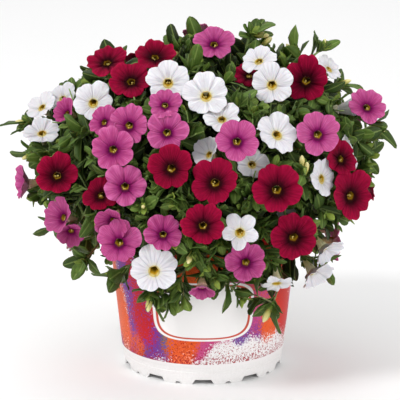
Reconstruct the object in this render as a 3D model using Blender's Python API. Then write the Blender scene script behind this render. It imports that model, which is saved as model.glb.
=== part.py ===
"""A calibrachoa with white, crimson and pink blooms, growing in its round nursery pot.

The pot stands on z = 0 with its axis on z. The photo looks along +Y, a little downwards. Sizes in the
plan are millimetres, and each mesh is made in metres.
"""

import math

import bmesh
import bpy
import numpy as np
from mathutils import Matrix
from mathutils.bvhtree import BVHTree

MM = 0.001
GAP = 0.3

# The photo's view, which places each bloom and leafy tip that it shows
PHOTO_TILT = math.radians(13.0)
PHOTO_DISTANCE = 1150.0
PHOTO_FOCAL_PX = 1643.0
PHOTO_MIDDLE_PX = (200.0, 200.0)
PHOTO_AIM = np.array((-2.1, 0.0, 116.5))

# The mound of foliage and blooms
MOUND_CENTRE_X = -1.0
MOUND_WAIST_Z = 130.0
MOUND_WIDE = 120.0
MOUND_DEEP = 104.0
MOUND_BACK = 114.0
MOUND_HIGH = 100.0
HEM_WIDE = 92.0
HEM_DEEP = 90.0
HEM_DROP = 55.0

# The pot
POT_SIDES = 30
POT_HEIGHT = 108.0
POT_FOOT_RADIUS = 55.8
POT_FLARE = 0.103
POT_WALL = 1.3
RIM_BEAD = 1.4
RIM_BEAD_HEIGHT = 5.0
LABEL_LOW = 12.5
LABEL_STEP = 0.5
FLOOR_HEIGHT = 6.5
FLOOR_THICKNESS = 1.5
FOOT_NOTCHES = 10
FOOT_NOTCH_WIDTH = 13.0
FOOT_NOTCH_HEIGHT = 3.2
SOIL_TOP = 97.0
SOIL_CROWN = 3.0
SOIL_SIDES = 30
HOLE_DEPTH = 12.0
HOLE_SIDES = 8
SMOOTH_ANGLE = math.radians(35.0)

# Stems, leaves and blooms
STEMS_PER_COLOUR = 3
PLANT_RING = 17.0
PLANT_AZIMUTHS = (210.0, 330.0, 90.0)
FORK_STEP = 4.5
FORK_RUN = 14.0
STEM_CLEARANCE = 4.2
STEM_SKIN = 1.2
STEM_SHIFTS = ((0, 0, 0), (0, 0, 14), (14, 0, 0), (-14, 0, 0), (0, 14, 0), (0, -14, 0), (0, 0, -14),
               (22, 0, 10), (-22, 0, 10), (0, 22, 10), (0, -22, 10),
               (20, 20, 0), (-20, 20, 0), (20, -20, 0), (-20, -20, 0))
STEM_RADIUS = (1.8, 1.1)
STEM_SIDES = 5
SHOOT_RADIUS = 0.85
SHOOT_PART_LENGTH = 19.0
SHOOT_START = 2.2
LEAF_ROOT_HALF = 0.4
LEAF_ROOT_PITCH = 2.2
CUP_RADIUS = 2.9
CUP_RIM = 2.6
CUP_DEPTH = 1.3
STEM_PARTS = 5
LEAF_THICKNESS = 0.75
LEAF_WIDEST = 0.55
LIMB_THICKNESS = 0.8
THROAT_SHARE = 0.125
TUBE_SHARE = 0.44
TUBE_FOOT_RADIUS = 1.3
CUP_HEIGHT = 3.2
SAMPLE_STEP = 1.7
CLEARANCE = 2.5
SHOOT_CLEARANCE = 2.3
CUP_CLEARANCE = 1.3
SEED = 11
MEETING_FACES = 8
CRUMB_POINTS = 12
STALK_LEANS = ((0.0, 0.0), (0.6, 0.0), (-0.6, 0.0), (0.0, 0.6), (0.0, -0.6), (1.2, 0.0), (-1.2, 0.0),
               (0.0, 1.2))
LEAF_SWINGS = (0.0, 0.45, -0.45, 0.9, -0.9, 1.5, -1.5, 2.2, 3.1)
TIP_SHIFTS = ((0, 0, 0), (0, 0, 4), (4, 0, 0), (-4, 0, 0), (0, 0, -4), (0, -5, 0), (0, 5, 0))
TIP_STEPS = (0.0, 1.6, 3.2, 5.5, 8.5)
TIP_SPLAYS = (0.35, 0.5, 0.75, 0.9, 1.0)
HANGING_LEANS = (0.0, 0.5, -0.5, 0.9, -0.9)
MOST_PULL = 30
DRIFTS = (0, 3, -3, 6, -6)
SLIDES = (0, 1, -1, 2, -2, 3, -3, 4, -4, 5, -5, 6, -6, 7, -7, 8, -8, 9, 10, 12, 14, 16, 18, 20, 23, 26)

COLOURS = ("white", "red", "pink")

# Blooms of the photo: node, pixel across and down, yaw to the right, pitch up, width, lift, form
FRONT_BLOOMS = (
    ("white_01", 42, 106, -35, 35, 25, 1.00, "open"),
    ("white_01", 42, 135, -5, 45, 27, 1.00, "open"),
    ("white_01", 64, 97, -25, 25, 24, 0.96, "open"),
    ("white_02", 93, 101, -10, 10, 28, 1.00, "open"),
    ("white_03", 168, 81, 0, 8, 29, 1.02, "open"),
    ("white_03", 209, 95, 0, 20, 32, 1.04, "open"),
    ("white_03", 222, 118, 0, 35, 25, 0.92, "open"),
    ("white_04", 272, 83, 0, 5, 29, 1.02, "open"),
    ("white_04", 259, 60, -20, 40, 25, 0.97, "open"),
    ("white_05", 277, 133, 25, 25, 30, 1.02, "open"),
    ("white_06", 209, 153, -40, 20, 23, 0.88, "cupped"),
    ("white_07", 154, 269, 0, -5, 32, 1.06, "open"),
    ("white_08", 240, 231, 0, -10, 28, 1.02, "star"),
    ("white_09", 277, 284, 10, -65, 26, 1.02, "star"),
    ("white_10", 314, 272, 50, -45, 27, 1.00, "cupped"),
    ("white_10", 328, 243, 55, -45, 26, 1.00, "cupped"),
    ("white_11", 322, 177, 50, 5, 27, 0.97, "open"),
    ("white_12", 349, 152, 70, 20, 25, 0.94, "open"),
    ("white_13", 340, 108, 70, 5, 20, 0.95, "trumpet"),
    ("white_14", 329, 68, 45, 35, 22, 0.93, "open"),
    ("white_15", 252, 163, 10, 25, 24, 0.88, "open"),
    ("red_01", 131, 80, -5, 32, 31, 1.00, "open"),
    ("red_01", 155, 56, 5, 40, 29, 1.00, "open"),
    ("red_01", 108, 66, -10, 40, 29, 1.00, "open"),
    ("red_02", 306, 79, -20, 8, 33, 1.00, "open"),
    ("red_03", 57, 174, -5, 15, 30, 1.00, "open"),
    ("red_04", 101, 194, -20, 20, 26, 0.93, "open"),
    ("red_05", 215, 181, -12, 10, 32, 1.03, "open"),
    ("red_05", 203, 224, 5, 15, 29, 1.00, "open"),
    ("red_06", 171, 167, -12, 0, 30, 1.00, "open"),
    ("red_07", 277, 188, 8, 5, 34, 1.04, "open"),
    ("red_08", 351, 194, 35, 0, 35, 1.00, "open"),
    ("red_08", 333, 162, 35, 10, 27, 0.95, "open"),
    ("red_09", 294, 236, 10, -15, 33, 1.04, "open"),
    ("red_10", 249, 75, 0, 35, 22, 0.88, "open"),
    ("pink_01", 214, 43, 0, 35, 29, 1.00, "open"),
    ("pink_02", 367, 106, 15, 25, 28, 1.00, "open"),
    ("pink_03", 129, 124, -15, 0, 28, 1.00, "open"),
    ("pink_03", 113, 148, -5, 0, 29, 1.02, "open"),
    ("pink_03", 104, 121, -30, 20, 23, 0.93, "open"),
    ("pink_03", 125, 185, 0, 5, 29, 1.02, "open"),
    ("pink_04", 167, 131, 0, 10, 28, 1.02, "open"),
    ("pink_04", 165, 104, 0, 25, 23, 0.94, "open"),
    ("pink_05", 237, 140, 0, 5, 29, 1.02, "open"),
    ("pink_06", 318, 133, 10, 0, 30, 1.02, "open"),
    ("pink_07", 26, 182, -70, 0, 26, 1.00, "cupped"),
    ("pink_08", 63, 216, -45, 10, 28, 1.00, "cupped"),
    ("pink_08", 78, 244, 0, -40, 22, 1.00, "cupped"),
    ("pink_09", 119, 241, -5, 0, 30, 1.04, "open"),
    ("pink_09", 113, 220, -20, -35, 26, 1.00, "cupped"),
    ("pink_10", 163, 233, 0, 15, 26, 1.00, "open"),
    ("pink_11", 246, 261, 5, -10, 28, 1.05, "open"),
    ("pink_12", 202, 288, 0, -60, 19, 1.02, "cupped"),
    ("pink_13", 67, 112, -40, 20, 21, 0.95, "cupped"),
)

# Rows round the back: height, then each node with its count of blooms and its azimuth
BACK_ROWS = (
    (88.0, (("pink_14", 2, 12), ("white_16", 1, 50), ("red_11", 1, 88), ("pink_15", 1, 128),
            ("white_17", 2, 164))),
    (127.0, (("red_12", 1, 8), ("white_18", 2, 40), ("pink_16", 2, 84), ("red_13", 1, 118),
             ("white_19", 2, 152))),
    (166.0, (("pink_17", 1, 18), ("red_14", 2, 56), ("white_20", 1, 96), ("pink_18", 2, 138))),
    (200.0, (("white_21", 2, 55), ("red_15", 2, 122))),
    (224.0, (("pink_19", 2, 88),)),
)
BACK_SPREAD = 15.0

# Leafy tips of the photo: pixel across and down, turn on the picture from right, lift, leaves
FRONT_TIPS = (
    (251, 27, 100, 1.04, 4),
    (263, 40, 60, 1.00, 4),
    (297, 47, 85, 1.00, 3),
    (323, 48, 75, 1.02, 4),
    (341, 78, 60, 1.00, 4),
    (383, 125, 10, 1.02, 4),
    (375, 138, -20, 1.00, 3),
    (180, 46, 120, 0.98, 4),
    (195, 62, 60, 0.98, 3),
    (27, 152, 170, 0.98, 4),
    (40, 158, 200, 1.00, 3),
    (66, 86, 135, 1.00, 4),
    (22, 121, 165, 1.00, 3),
    (76, 130, 180, 0.98, 4),
    (50, 226, 200, 1.00, 4),
    (90, 221, 230, 1.00, 4),
    (115, 279, 235, 0.98, 3),
    (150, 299, 260, 1.00, 4),
    (178, 291, 265, 1.00, 4),
    (213, 283, 280, 0.98, 4),
    (276, 305, 290, 0.98, 2),
    (176, 205, 240, 1.00, 4),
    (187, 214, 300, 1.00, 4),
    (240, 101, 60, 0.97, 4),
    (303, 163, 80, 0.98, 4),
    (312, 172, 30, 0.97, 3),
    (356, 141, 30, 1.00, 4),
    (254, 205, 270, 0.96, 4),
    (140, 215, 250, 0.96, 3),
    (193, 258, 270, 0.98, 3),
    (266, 262, 290, 0.97, 3),
    (190, 128, 90, 0.93, 3),
    (300, 108, 60, 0.95, 3),
    (184, 241, 270, 0.97, 3),
    (143, 229, 240, 0.97, 3),
    (222, 249, 280, 0.97, 3),
    (266, 238, 300, 0.97, 3),
)

# Leafy tips round the back: height, and how many in the row from azimuth 0 to 180
BACK_TIP_LEAVES = 3
BACK_TIPS = ((106.0, 5), (147.0, 6), (184.0, 4), (212.0, 3), (230.0, 2))

# Leafy tips that fill the sides and the hem at the back: height, first azimuth, last azimuth, how many
SIDE_TIP_LEAVES = 3
SIDE_TIPS = ((80.0, -35.0, 215.0, 8), (126.0, -20.0, 200.0, 4), (166.0, -10.0, 190.0, 3))

# How far the finished object is moved, so that its origin lies under the middle of its box
RECENTRE = (3.35, 2.9, 0.0)

# Colours, linear
LOOKS = {
    "pot": ((0.80, 0.74, 0.76, 1.0), 0.42),
    "soil": ((0.035, 0.022, 0.014, 1.0), 0.95),
    "stem": ((0.075, 0.150, 0.028, 1.0), 0.60),
    "white": ((0.86, 0.86, 0.82, 1.0), 0.60),
    "red": ((0.42, 0.003, 0.030, 1.0), 0.62),
    "pink": ((0.58, 0.085, 0.32, 1.0), 0.60),
}


def unit(vector):
    """The vector at length one."""
    return vector / np.linalg.norm(vector)


def photo_axes():
    """The photo's eye and its directions right, up and forwards."""
    forwards = np.array((0.0, math.cos(PHOTO_TILT), -math.sin(PHOTO_TILT)))
    up = np.array((0.0, math.sin(PHOTO_TILT), math.cos(PHOTO_TILT)))
    return PHOTO_AIM - PHOTO_DISTANCE * forwards, np.array((1.0, 0.0, 0.0)), up, forwards


def sight(across, down):
    """The eye and the unit direction of the sight line through a pixel."""
    eye, right, up, forwards = photo_axes()
    aside = (across - PHOTO_MIDDLE_PX[0]) / PHOTO_FOCAL_PX
    above = (PHOTO_MIDDLE_PX[1] - down) / PHOTO_FOCAL_PX
    return eye, unit(forwards + aside * right + above * up)


def mound_level(points, lift):
    """Zero on the mound's surface and less inside: a dome over a hem that draws in below the waist."""
    below = np.clip((MOUND_WAIST_Z - points[:, 2]) / HEM_DROP, 0.0, 1.0)
    drawn = below * below * (3.0 - 2.0 * below)
    wide = (MOUND_WIDE + (HEM_WIDE - MOUND_WIDE) * drawn) * lift
    waist = np.where(points[:, 1] > 0.0, MOUND_BACK, MOUND_DEEP)
    deep = (waist + (HEM_DEEP - waist) * drawn) * lift
    rise = np.clip(points[:, 2] - MOUND_WAIST_Z, 0.0, None) / (MOUND_HIGH * lift)
    return ((points[:, 0] - MOUND_CENTRE_X) / wide) ** 2 + (points[:, 1] / deep) ** 2 + rise ** 2 - 1.0


def on_mound(eye, along, lift):
    """The first point of a sight line on the mound, or the nearest to it where the line passes by."""
    reach = PHOTO_DISTANCE + np.arange(-150.0, 60.0, 1.0)
    points = eye + reach[:, None] * along
    level = mound_level(points, lift)
    inside = np.nonzero(level < 0.0)[0]
    return points[inside[0]] if len(inside) else points[np.argmin(level)]


def out_of_mound(azimuth, height, lift):
    """The mound's point at an azimuth and a height, and the direction straight out there."""
    level = np.array((math.cos(azimuth), math.sin(azimuth), 0.0))
    reach = np.arange(5.0, 160.0, 0.5)
    points = reach[:, None] * level + np.array((MOUND_CENTRE_X, 0.0, height))
    inside = mound_level(points, lift) < 0.0
    point = points[np.nonzero(inside)[0][-1]] if inside.any() else points[0]
    steep = max(0.0, (height - MOUND_WAIST_Z) / MOUND_HIGH)
    return point, unit(level * math.sqrt(1.0 - min(0.9, steep) ** 2) + np.array((0.0, 0.0, steep)))


def facing(yaw, pitch):
    """The direction a bloom faces, from its turn to the right and up, seen from the photo's eye."""
    _, right, up, forwards = photo_axes()
    yaw = math.radians(yaw)
    pitch = math.radians(pitch)
    level = math.cos(yaw) * -forwards + math.sin(yaw) * right
    return unit(math.cos(pitch) * level + math.sin(pitch) * up)


def frame_round(axis):
    """Two unit directions square to an axis and to each other."""
    aside = np.cross(axis, (0.0, 0.0, 1.0))
    if np.linalg.norm(aside) < 0.1:
        aside = np.cross(axis, (0.0, 1.0, 0.0))
    aside = unit(aside)
    return aside, np.cross(aside, axis)


class Space:
    """Sample points of all that is placed, each with its owner, to keep owners clear of each other."""

    def __init__(self):
        self.points = np.zeros((0, 3))
        self.owners = np.zeros(0, int)

    def add(self, points, owner):
        self.points = np.vstack((self.points, points))
        self.owners = np.append(self.owners, np.full(len(points), owner))

    def near(self, points, margin):
        low = points.min(axis=0) - margin
        high = points.max(axis=0) + margin
        return ((self.points > low) & (self.points < high)).all(axis=1)

    def clear(self, points, owner, margin=CLEARANCE, root=None, root_reach=0.0, but=-1):
        """True where no other owner comes nearer than the margin, nor its own pieces away from the root."""
        if not pot_clear(points):
            return False
        near = self.near(points, margin) & (self.owners != but)
        if root is not None:
            off_root = np.linalg.norm(self.points - root, axis=1) > root_reach
            near &= (self.owners != owner) | off_root
        else:
            near &= self.owners != owner
        others = self.points[near]
        if not len(others):
            return True
        apart = np.linalg.norm(points[:, None, :] - others[None, :, :], axis=2)
        return bool(apart.min() > margin)


def pot_clear(points):
    """True where the points keep off the pot's rim, its wall and the soil."""
    out = np.hypot(points[:, 0], points[:, 1])
    high = points[:, 2] > POT_HEIGHT + 2.5
    outside = out > POT_FOOT_RADIUS + POT_FLARE * POT_HEIGHT + RIM_BEAD + 3.0
    inside = (out < POT_FOOT_RADIUS) & (points[:, 2] > SOIL_TOP + SOIL_CROWN + 1.0)
    return bool((high | outside | inside).all())


def limb_height(share, form):
    """Height of the limb over its throat, as a share of the bloom's width, at a share of its radius."""
    rise = {"open": 0.07, "star": 0.03, "cupped": 0.22, "trumpet": 0.50}[form]
    return rise * share ** 1.4


def limb_radius(bloom):
    """The radius of the limb, less where the bloom is not fully open."""
    return bloom["width"] * {"open": 0.5, "star": 0.5, "cupped": 0.47, "trumpet": 0.33}[bloom["form"]]


def bloom_axes(bloom):
    """The bloom's three axes: two across it, turned by its own spin, and its facing."""
    aside, above = frame_round(bloom["face"])
    turn = bloom["spin"]
    first = math.cos(turn) * aside + math.sin(turn) * above
    return first, np.cross(bloom["face"], first), bloom["face"]


def bloom_samples(bloom):
    """Points over a bloom's limb and along its tube."""
    radius = limb_radius(bloom)
    length = TUBE_SHARE * bloom["width"]
    found = []
    for ring in np.linspace(0.12, 1.0, int(radius / SAMPLE_STEP) + 1):
        count = int(math.tau * ring * radius / SAMPLE_STEP) + 3
        turns = np.linspace(0.0, math.tau, count, endpoint=False)
        height = limb_height(ring, bloom["form"]) * bloom["width"] - 0.5 * LIMB_THICKNESS
        wide = radius * ring
        found.append(np.stack((wide * np.cos(turns), wide * np.sin(turns), 0 * turns + height), 1))
    for down in np.arange(2.0, length + 1.0, SAMPLE_STEP):
        wide = max(TUBE_FOOT_RADIUS, THROAT_SHARE * bloom["width"] * (1.2 - down / length))
        turns = np.linspace(0.0, math.tau, 6, endpoint=False)
        found.append(np.stack((wide * np.cos(turns), wide * np.sin(turns), 0 * turns - down), 1))
    local = np.vstack(found)
    across, above, out = bloom_axes(bloom)
    return bloom["at"] + local[:, :1] * across + local[:, 1:2] * above + local[:, 2:] * out


def make_bloom(node, at, face, width, form, spin, slide):
    """A bloom's record: its node, place, facing, width, form and spin, and the line it may slide along."""
    return {"node": node, "colour": node.split("_")[0], "at": at, "face": face, "width": float(width),
            "form": form, "spin": spin, "slide": slide}


def wanted_blooms(rng):
    """Every bloom where it would stand if nothing were in its way."""
    blooms = []
    for node, across, down, yaw, pitch, width, lift, form in FRONT_BLOOMS:
        eye, along = sight(across, down)
        at = on_mound(eye, along, lift)
        spin = rng.uniform(0.0, math.tau)
        blooms.append(make_bloom(node, at, facing(yaw, pitch), width, form, spin, -along))
    for height, groups in BACK_ROWS:
        for node, count, azimuth in groups:
            middle, _ = out_of_mound(math.radians(azimuth), height, 1.0)
            turn = BACK_SPREAD / max(30.0, float(np.hypot(middle[0], middle[1])))
            for side in ((0.0,), (-turn, turn))[count - 1]:
                at, out = out_of_mound(math.radians(azimuth) + side, height + 12.0 * side, 1.0)
                face = unit(out + rng.uniform(-0.18, 0.18, 3))
                width = rng.uniform(29.0, 34.0)
                blooms.append(make_bloom(node, at, face, width, "open", rng.uniform(0.0, math.tau), out))
    return blooms


def seat_blooms(space, blooms):
    """Slides each bloom to a clear place, and the later ones of a node to where their petals meet."""
    placed = []
    for bloom in blooms:
        samples = bloom_samples(bloom)
        mates = [other for other in placed if other["node"] == bloom["node"]]
        others = [other["samples"] for other in placed if other["node"] != bloom["node"]]
        others = np.vstack(others) if others else np.zeros((0, 3))
        shift = first_seat(bloom, samples, mates, others)
        bloom["at"] = bloom["at"] + shift
        bloom["samples"] = samples + shift
        placed.append(bloom)
    for number, bloom in enumerate(placed):
        bloom["owner"] = 100 + number
        space.add(bloom["samples"], bloom["owner"])


def first_seat(bloom, samples, mates, others):
    """The least move that makes a bloom clear of other nodes, and meet a mate where it has one."""
    points, faces = corolla(bloom)
    towards = np.zeros(3)
    if mates:
        nearest = min(mates, key=lambda mate: np.linalg.norm(mate["at"] - bloom["at"]))
        towards = nearest["at"] - bloom["at"]
        towards = unit(towards - bloom["slide"] * float(towards @ bloom["slide"]))
    trees = [tree_of(*corolla(mate)) for mate in mates]
    aside = np.cross(bloom["slide"], towards)
    pulls = range(MOST_PULL) if mates else (0,)
    drifts = DRIFTS if mates else (0,)
    moves = [(pull, drift, slide) for pull in pulls for drift in drifts for slide in SLIDES]
    moves.sort(key=lambda move: 1.6 * (move[0] + abs(move[1])) + abs(move[2]) + 0.5 * (move[2] < 0))
    for pull, drift, slide in moves:
        shift = slide * bloom["slide"] + pull * towards + drift * aside
        if mates:
            moved = tree_of(points + shift, faces)
            if max(len(moved.overlap(tree)) for tree in trees) < MEETING_FACES:
                continue
        if pot_clear(samples + shift) and apart_from(samples + shift, others):
            return shift
    return np.zeros(3)


def tree_of(points, faces):
    """A search tree of a mesh, to find where two meshes cross."""
    return BVHTree.FromPolygons([tuple(point) for point in points], faces)


def apart_from(points, others):
    """True where two sets of points keep the clearance."""
    low = points.min(axis=0) - CLEARANCE
    high = points.max(axis=0) + CLEARANCE
    others = others[((others > low) & (others < high)).all(axis=1)]
    if not len(others):
        return True
    return bool(np.linalg.norm(points[:, None, :] - others[None, :, :], axis=2).min() > CLEARANCE)


def curve(start, first, second, end, parts):
    """Corners of a cubic from start to end, drawn towards the two points between."""
    share = np.linspace(0.0, 1.0, parts + 1)[:, None]
    rest = 1.0 - share
    ends = rest ** 3 * start + share ** 3 * end
    return ends + 3 * rest ** 2 * share * first + 3 * rest * share ** 2 * second


def dotted(corners):
    """Points at an even step along the straight runs between corners."""
    points = [corners[:1]]
    for here, after in zip(corners, corners[1:]):
        steps = max(1, int(np.linalg.norm(after - here) / SAMPLE_STEP))
        points.append(here + np.linspace(0.0, 1.0, steps + 1)[1:, None] * (after - here))
    return np.vstack(points)


def stem_targets(blooms, colour):
    """Where the main stems of a colour lead: the middles of its groups of blooms, drawn into the mound."""
    places = np.array([bloom["at"] for bloom in blooms if bloom["colour"] == colour])
    order = np.argsort(np.arctan2(places[:, 1], places[:, 0]))
    targets = [places[part].mean(axis=0) for part in np.array_split(order, STEMS_PER_COLOUR)]
    return [target * (0.62, 0.62, 1.0) + (0.0, 0.0, -8.0) for target in targets]


def grow_plants(space, blooms):
    """Three young plants, one of each colour, each with a main stem that soon forks in three."""
    plants = []
    for number, colour in enumerate(COLOURS):
        around = math.radians(PLANT_AZIMUTHS[number])
        base = np.array((PLANT_RING * math.cos(around), PLANT_RING * math.sin(around), SOIL_TOP))
        foot = base + (0.0, 0.0, 2.0)
        stems = []
        for fork, wanted in enumerate(stem_targets(blooms, colour)):
            start = foot + (0.0, 0.0, FORK_STEP * fork)
            for shift in STEM_SHIFTS:
                target = wanted + shift
                knee = start + (0.0, 0.0, 16.0) + 0.08 * (target - start)
                corners = curve(start, knee, target - 0.35 * (target - knee), target, STEM_PARTS)
                if fork:
                    up_stem = min(0.9, FORK_STEP * fork / FORK_RUN)
                    corners[0] = stems[0][0] + (stems[0][1] - stems[0][0]) * up_stem
                path = dotted(corners)
                if space.clear(path[path[:, 2] > SOIL_TOP + 2 * SOIL_CROWN], number, STEM_CLEARANCE):
                    break
            stems.append(corners)
        paths = [dotted(corners) for corners in stems]
        for step in STEM_SKIN * np.vstack((np.eye(3), -np.eye(3))):
            space.add(np.vstack(paths) + step, number)
        plants.append({"owner": number, "name": "leafy_stems_" + colour, "colour": colour, "base": base,
                       "stems": stems, "shoots": [], "ends": paths})
    return plants


def shoot_choices(stems, end, arrive, rng):
    """Paths from the stems to a point, the short and smooth ones first. A low end is reached over the rim."""
    low = end[2] < POT_HEIGHT + 8.0
    reaches = ((0.0, 36.0), (0.1, 46.0), (0.2, 30.0)) if low else ((0.0, 22.0), (0.16, 14.0), (0.3, 28.0))
    found = []
    for stem in stems:
        for path in stem["ends"]:
            for at in range(3, len(path) - 1, 3):
                start = path[at]
                grow = unit(path[at + 1] - path[at - 1])
                span = np.linalg.norm(end - start)
                if span < 8.0:
                    continue
                away = (end - start) / span
                cost = span * (1.6 - 0.3 * float(grow @ away) - 0.3 * float(away @ arrive))
                found.append((cost, stem, start, grow, span))
    found.sort(key=lambda item: item[0])
    for cost, stem, start, grow, span in found[:140]:
        for swing, reach in reaches:
            side = unit(rng.normal(size=3)) * swing * span
            first = start + 0.28 * span * unit(grow + 0.8 * (end - start) / span) + side
            second = end - (reach if low else min(0.45 * span, reach)) * arrive + 0.6 * side
            corners = curve(start, first, second, end, int(np.clip(span / SHOOT_PART_LENGTH, 2, 5)))
            yield stem, corners, dotted(corners), start


def first_clear(space, stems, end, arrivals, rng, extra=None, but=-1):
    """The first path to a point that is clear with its extra points, but for its own bloom, or None."""
    for arrive in arrivals:
        for stem, corners, path, start in shoot_choices(stems, end, arrive, rng):
            if space.clear(path, stem["owner"], SHOOT_CLEARANCE, start, 7.0, but):
                if extra is None or space.clear(extra, stem["owner"], CUP_CLEARANCE, start, 7.0, but):
                    return stem, corners, path
    return None


def bloom_foot(bloom):
    """The point under the bloom's green cup, where its stalk ends."""
    return bloom["at"] - (TUBE_SHARE * bloom["width"] + CUP_HEIGHT) * bloom["face"]


def grow_stalks(space, stems, blooms, rng):
    """A stalk from the nearest stem of its colour to each bloom, nearest blooms first."""
    def distance(bloom):
        return min(np.linalg.norm(path - bloom_foot(bloom), axis=1).min()
                   for s in stems if s["colour"] == bloom["colour"] for path in s["ends"])
    for bloom in sorted(blooms, key=distance):
        own = [stem for stem in stems if stem["colour"] == bloom["colour"]]
        foot = bloom_foot(bloom)
        aside, above = frame_round(bloom["face"])
        arrivals = [unit(bloom["face"] + wide * aside + high * above) for wide, high in STALK_LEANS]
        if foot[2] < POT_HEIGHT + 8.0:
            down = np.array((0.0, 0.0, -1.0)) - 0.15 * bloom["face"]
            arrivals = [unit(down + lean * aside) for lean in HANGING_LEANS] + arrivals
        cup = cup_samples(foot, bloom["face"])
        found = first_clear(space, own, foot, arrivals, rng, cup, bloom["owner"])
        if found is None:
            continue
        stem, corners, path = found
        space.add(path, stem["owner"])
        space.add(cup, stem["owner"])
        stem["shoots"].append({"corners": corners, "path": path, "leaves": [], "cup": bloom["face"]})
        stem["ends"].append(path)


def cup_samples(foot, face):
    """Points round the rim of a bloom's cup."""
    aside, above = frame_round(face)
    turns = np.linspace(0.0, math.tau, 6, endpoint=False)[:, None]
    return foot + 0.8 * CUP_RIM * face + CUP_RADIUS * (np.cos(turns) * aside + np.sin(turns) * above)


def side_tips(rng):
    """The tips that fill the sides and the hem at the back: place, growth direction, leaves."""
    tips = []
    for height, first, last, count in SIDE_TIPS:
        for index in range(count):
            azimuth = math.radians(first + (last - first) * (index + rng.uniform(0.3, 0.7)) / count)
            at, out = out_of_mound(azimuth, height, 0.98)
            tips.append((at, unit(out + (0.0, 0.0, rng.uniform(-0.5, 0.2))), SIDE_TIP_LEAVES))
    return tips


def tips_wanted(rng):
    """The leafy tips that the photo shows, and those of the back: place, growth direction, leaves."""
    tips = []
    _, right, up, forwards = photo_axes()
    for across, down, turn, lift, leaves in FRONT_TIPS:
        eye, along = sight(across, down)
        at = on_mound(eye, along, lift)
        lean = math.cos(math.radians(turn)) * right + math.sin(math.radians(turn)) * up
        tips.append((at, unit(lean - 0.55 * forwards), leaves))
    for height, count in BACK_TIPS:
        for index in range(count):
            azimuth = math.radians(180.0 * (index + rng.uniform(0.3, 0.7)) / count)
            at, out = out_of_mound(azimuth, height, 1.0)
            tips.append((at, unit(out + (0.0, 0.0, rng.uniform(-0.3, 0.3))), BACK_TIP_LEAVES))
    return tips


def leaf_samples(leaf):
    """Points over a leaf blade, away from its root."""
    along = np.linspace(0.18, 1.0, int(leaf["length"] / SAMPLE_STEP) + 1)
    across = np.linspace(-1.0, 1.0, 5)
    share, side = (grid.ravel() for grid in np.meshgrid(along, across))
    half = leaf["half"] * np.interp(share, (0.0, 0.35, 0.68, 1.0), (0.1, 0.9, 1.0, 0.0))
    return leaf_points(leaf, share, side * half, 0.0)


def leaf_points(leaf, share, aside, above):
    """Points of the blade at a share of its length, a distance aside and a height over it.

    The midrib bends down along a quarter wave, and the two halves rise from it in a shallow V.
    """
    out, wide, over = leaf["axes"]
    sag = leaf["bend"] * leaf["length"] * share ** 2
    lift = above + leaf["fold"] * np.abs(aside) - sag
    return (leaf["root"] + np.multiply.outer(leaf["length"] * share, out)
            + np.multiply.outer(aside, wide) + np.multiply.outer(lift, over))


def make_leaf(root, out, up, length, rng):
    """A leaf's record: its root, its axes and its shape."""
    out = unit(out)
    wide = np.cross(out, up)
    wide = unit(wide) if np.linalg.norm(wide) > 0.1 else frame_round(out)[0]
    half = length * rng.uniform(0.18, 0.215)
    bend = rng.uniform(0.08, 0.26)
    fold = rng.uniform(0.15, 0.35)
    return {"root": root, "axes": (out, wide, np.cross(wide, out)), "length": length,
            "half": half, "bend": bend, "fold": fold}


def try_leaf(space, stem, shoot, at, length, splay, first_turn, rng):
    """Places a leaf on a shoot, in the first of some turns that is clear."""
    path = shoot["path"]
    root = path[at]
    grow = unit(path[at] - path[at - 1])
    aside, above = frame_round(grow)
    for trial, swing in enumerate(LEAF_SWINGS):
        turn = first_turn + swing
        lean = splay * (1.0 if trial < 5 else 0.8)
        side = math.cos(turn) * aside + math.sin(turn) * above
        out = math.cos(lean) * grow + math.sin(lean) * side
        leaf = make_leaf(root, out, grow, length * (1.0, 0.85)[trial % 2], rng)
        points = leaf_samples(leaf)
        if space.clear(points, stem["owner"], CLEARANCE, root, 4.5):
            space.add(points, stem["owner"])
            shoot["leaves"].append((at, leaf))
            return


def grow_tips(space, stems, tips, rng):
    """Leafy shoots that end between and over the blooms, with a rosette of leaves at each tip."""
    for at, grow, leaves in tips:
        found = None
        for shift in TIP_SHIFTS:
            found = found or first_clear(space, stems, at - 6.0 * grow + shift, [grow], rng)
        if found is None:
            continue
        stem, corners, path = found
        space.add(path, stem["owner"])
        shoot = {"corners": corners, "path": path, "leaves": [], "cup": None}
        stem["shoots"].append(shoot)
        stem["ends"].append(path)
        turn = rng.uniform(0.0, math.tau)
        for index in range(leaves):
            at = len(path) - 2 - int(LEAF_ROOT_PITCH / SAMPLE_STEP * TIP_STEPS[index])
            if at > 3:
                length = rng.uniform(17.0, 24.0)
                try_leaf(space, stem, shoot, at, length, TIP_SPLAYS[index], turn + 2.4 * index, rng)


def grow_leaves(space, stems, rng):
    """Leaves along the stalks of the blooms, in turn to one side and the other, in their outer halves."""
    for stem in stems:
        for shoot in stem["shoots"]:
            if shoot["cup"] is None:
                continue
            turn = rng.uniform(0.0, math.tau)
            count = len(shoot["path"])
            if count > 16:
                at = int(rng.uniform(0.55, 0.8) * (count - 2)) + 1
                try_leaf(space, stem, shoot, at, rng.uniform(16.0, 24.0), 0.9, turn, rng)


def plan_plant():
    """The whole plant: blooms and stems with all that grows on them, clear of each other."""
    rng = np.random.default_rng(SEED)
    space = Space()
    blooms = wanted_blooms(rng)
    seat_blooms(space, blooms)
    stems = grow_plants(space, blooms)
    grow_stalks(space, stems, blooms, rng)
    grow_tips(space, stems, tips_wanted(rng), rng)
    grow_leaves(space, stems, rng)
    grow_tips(space, stems, side_tips(rng), rng)
    return blooms, stems


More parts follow.
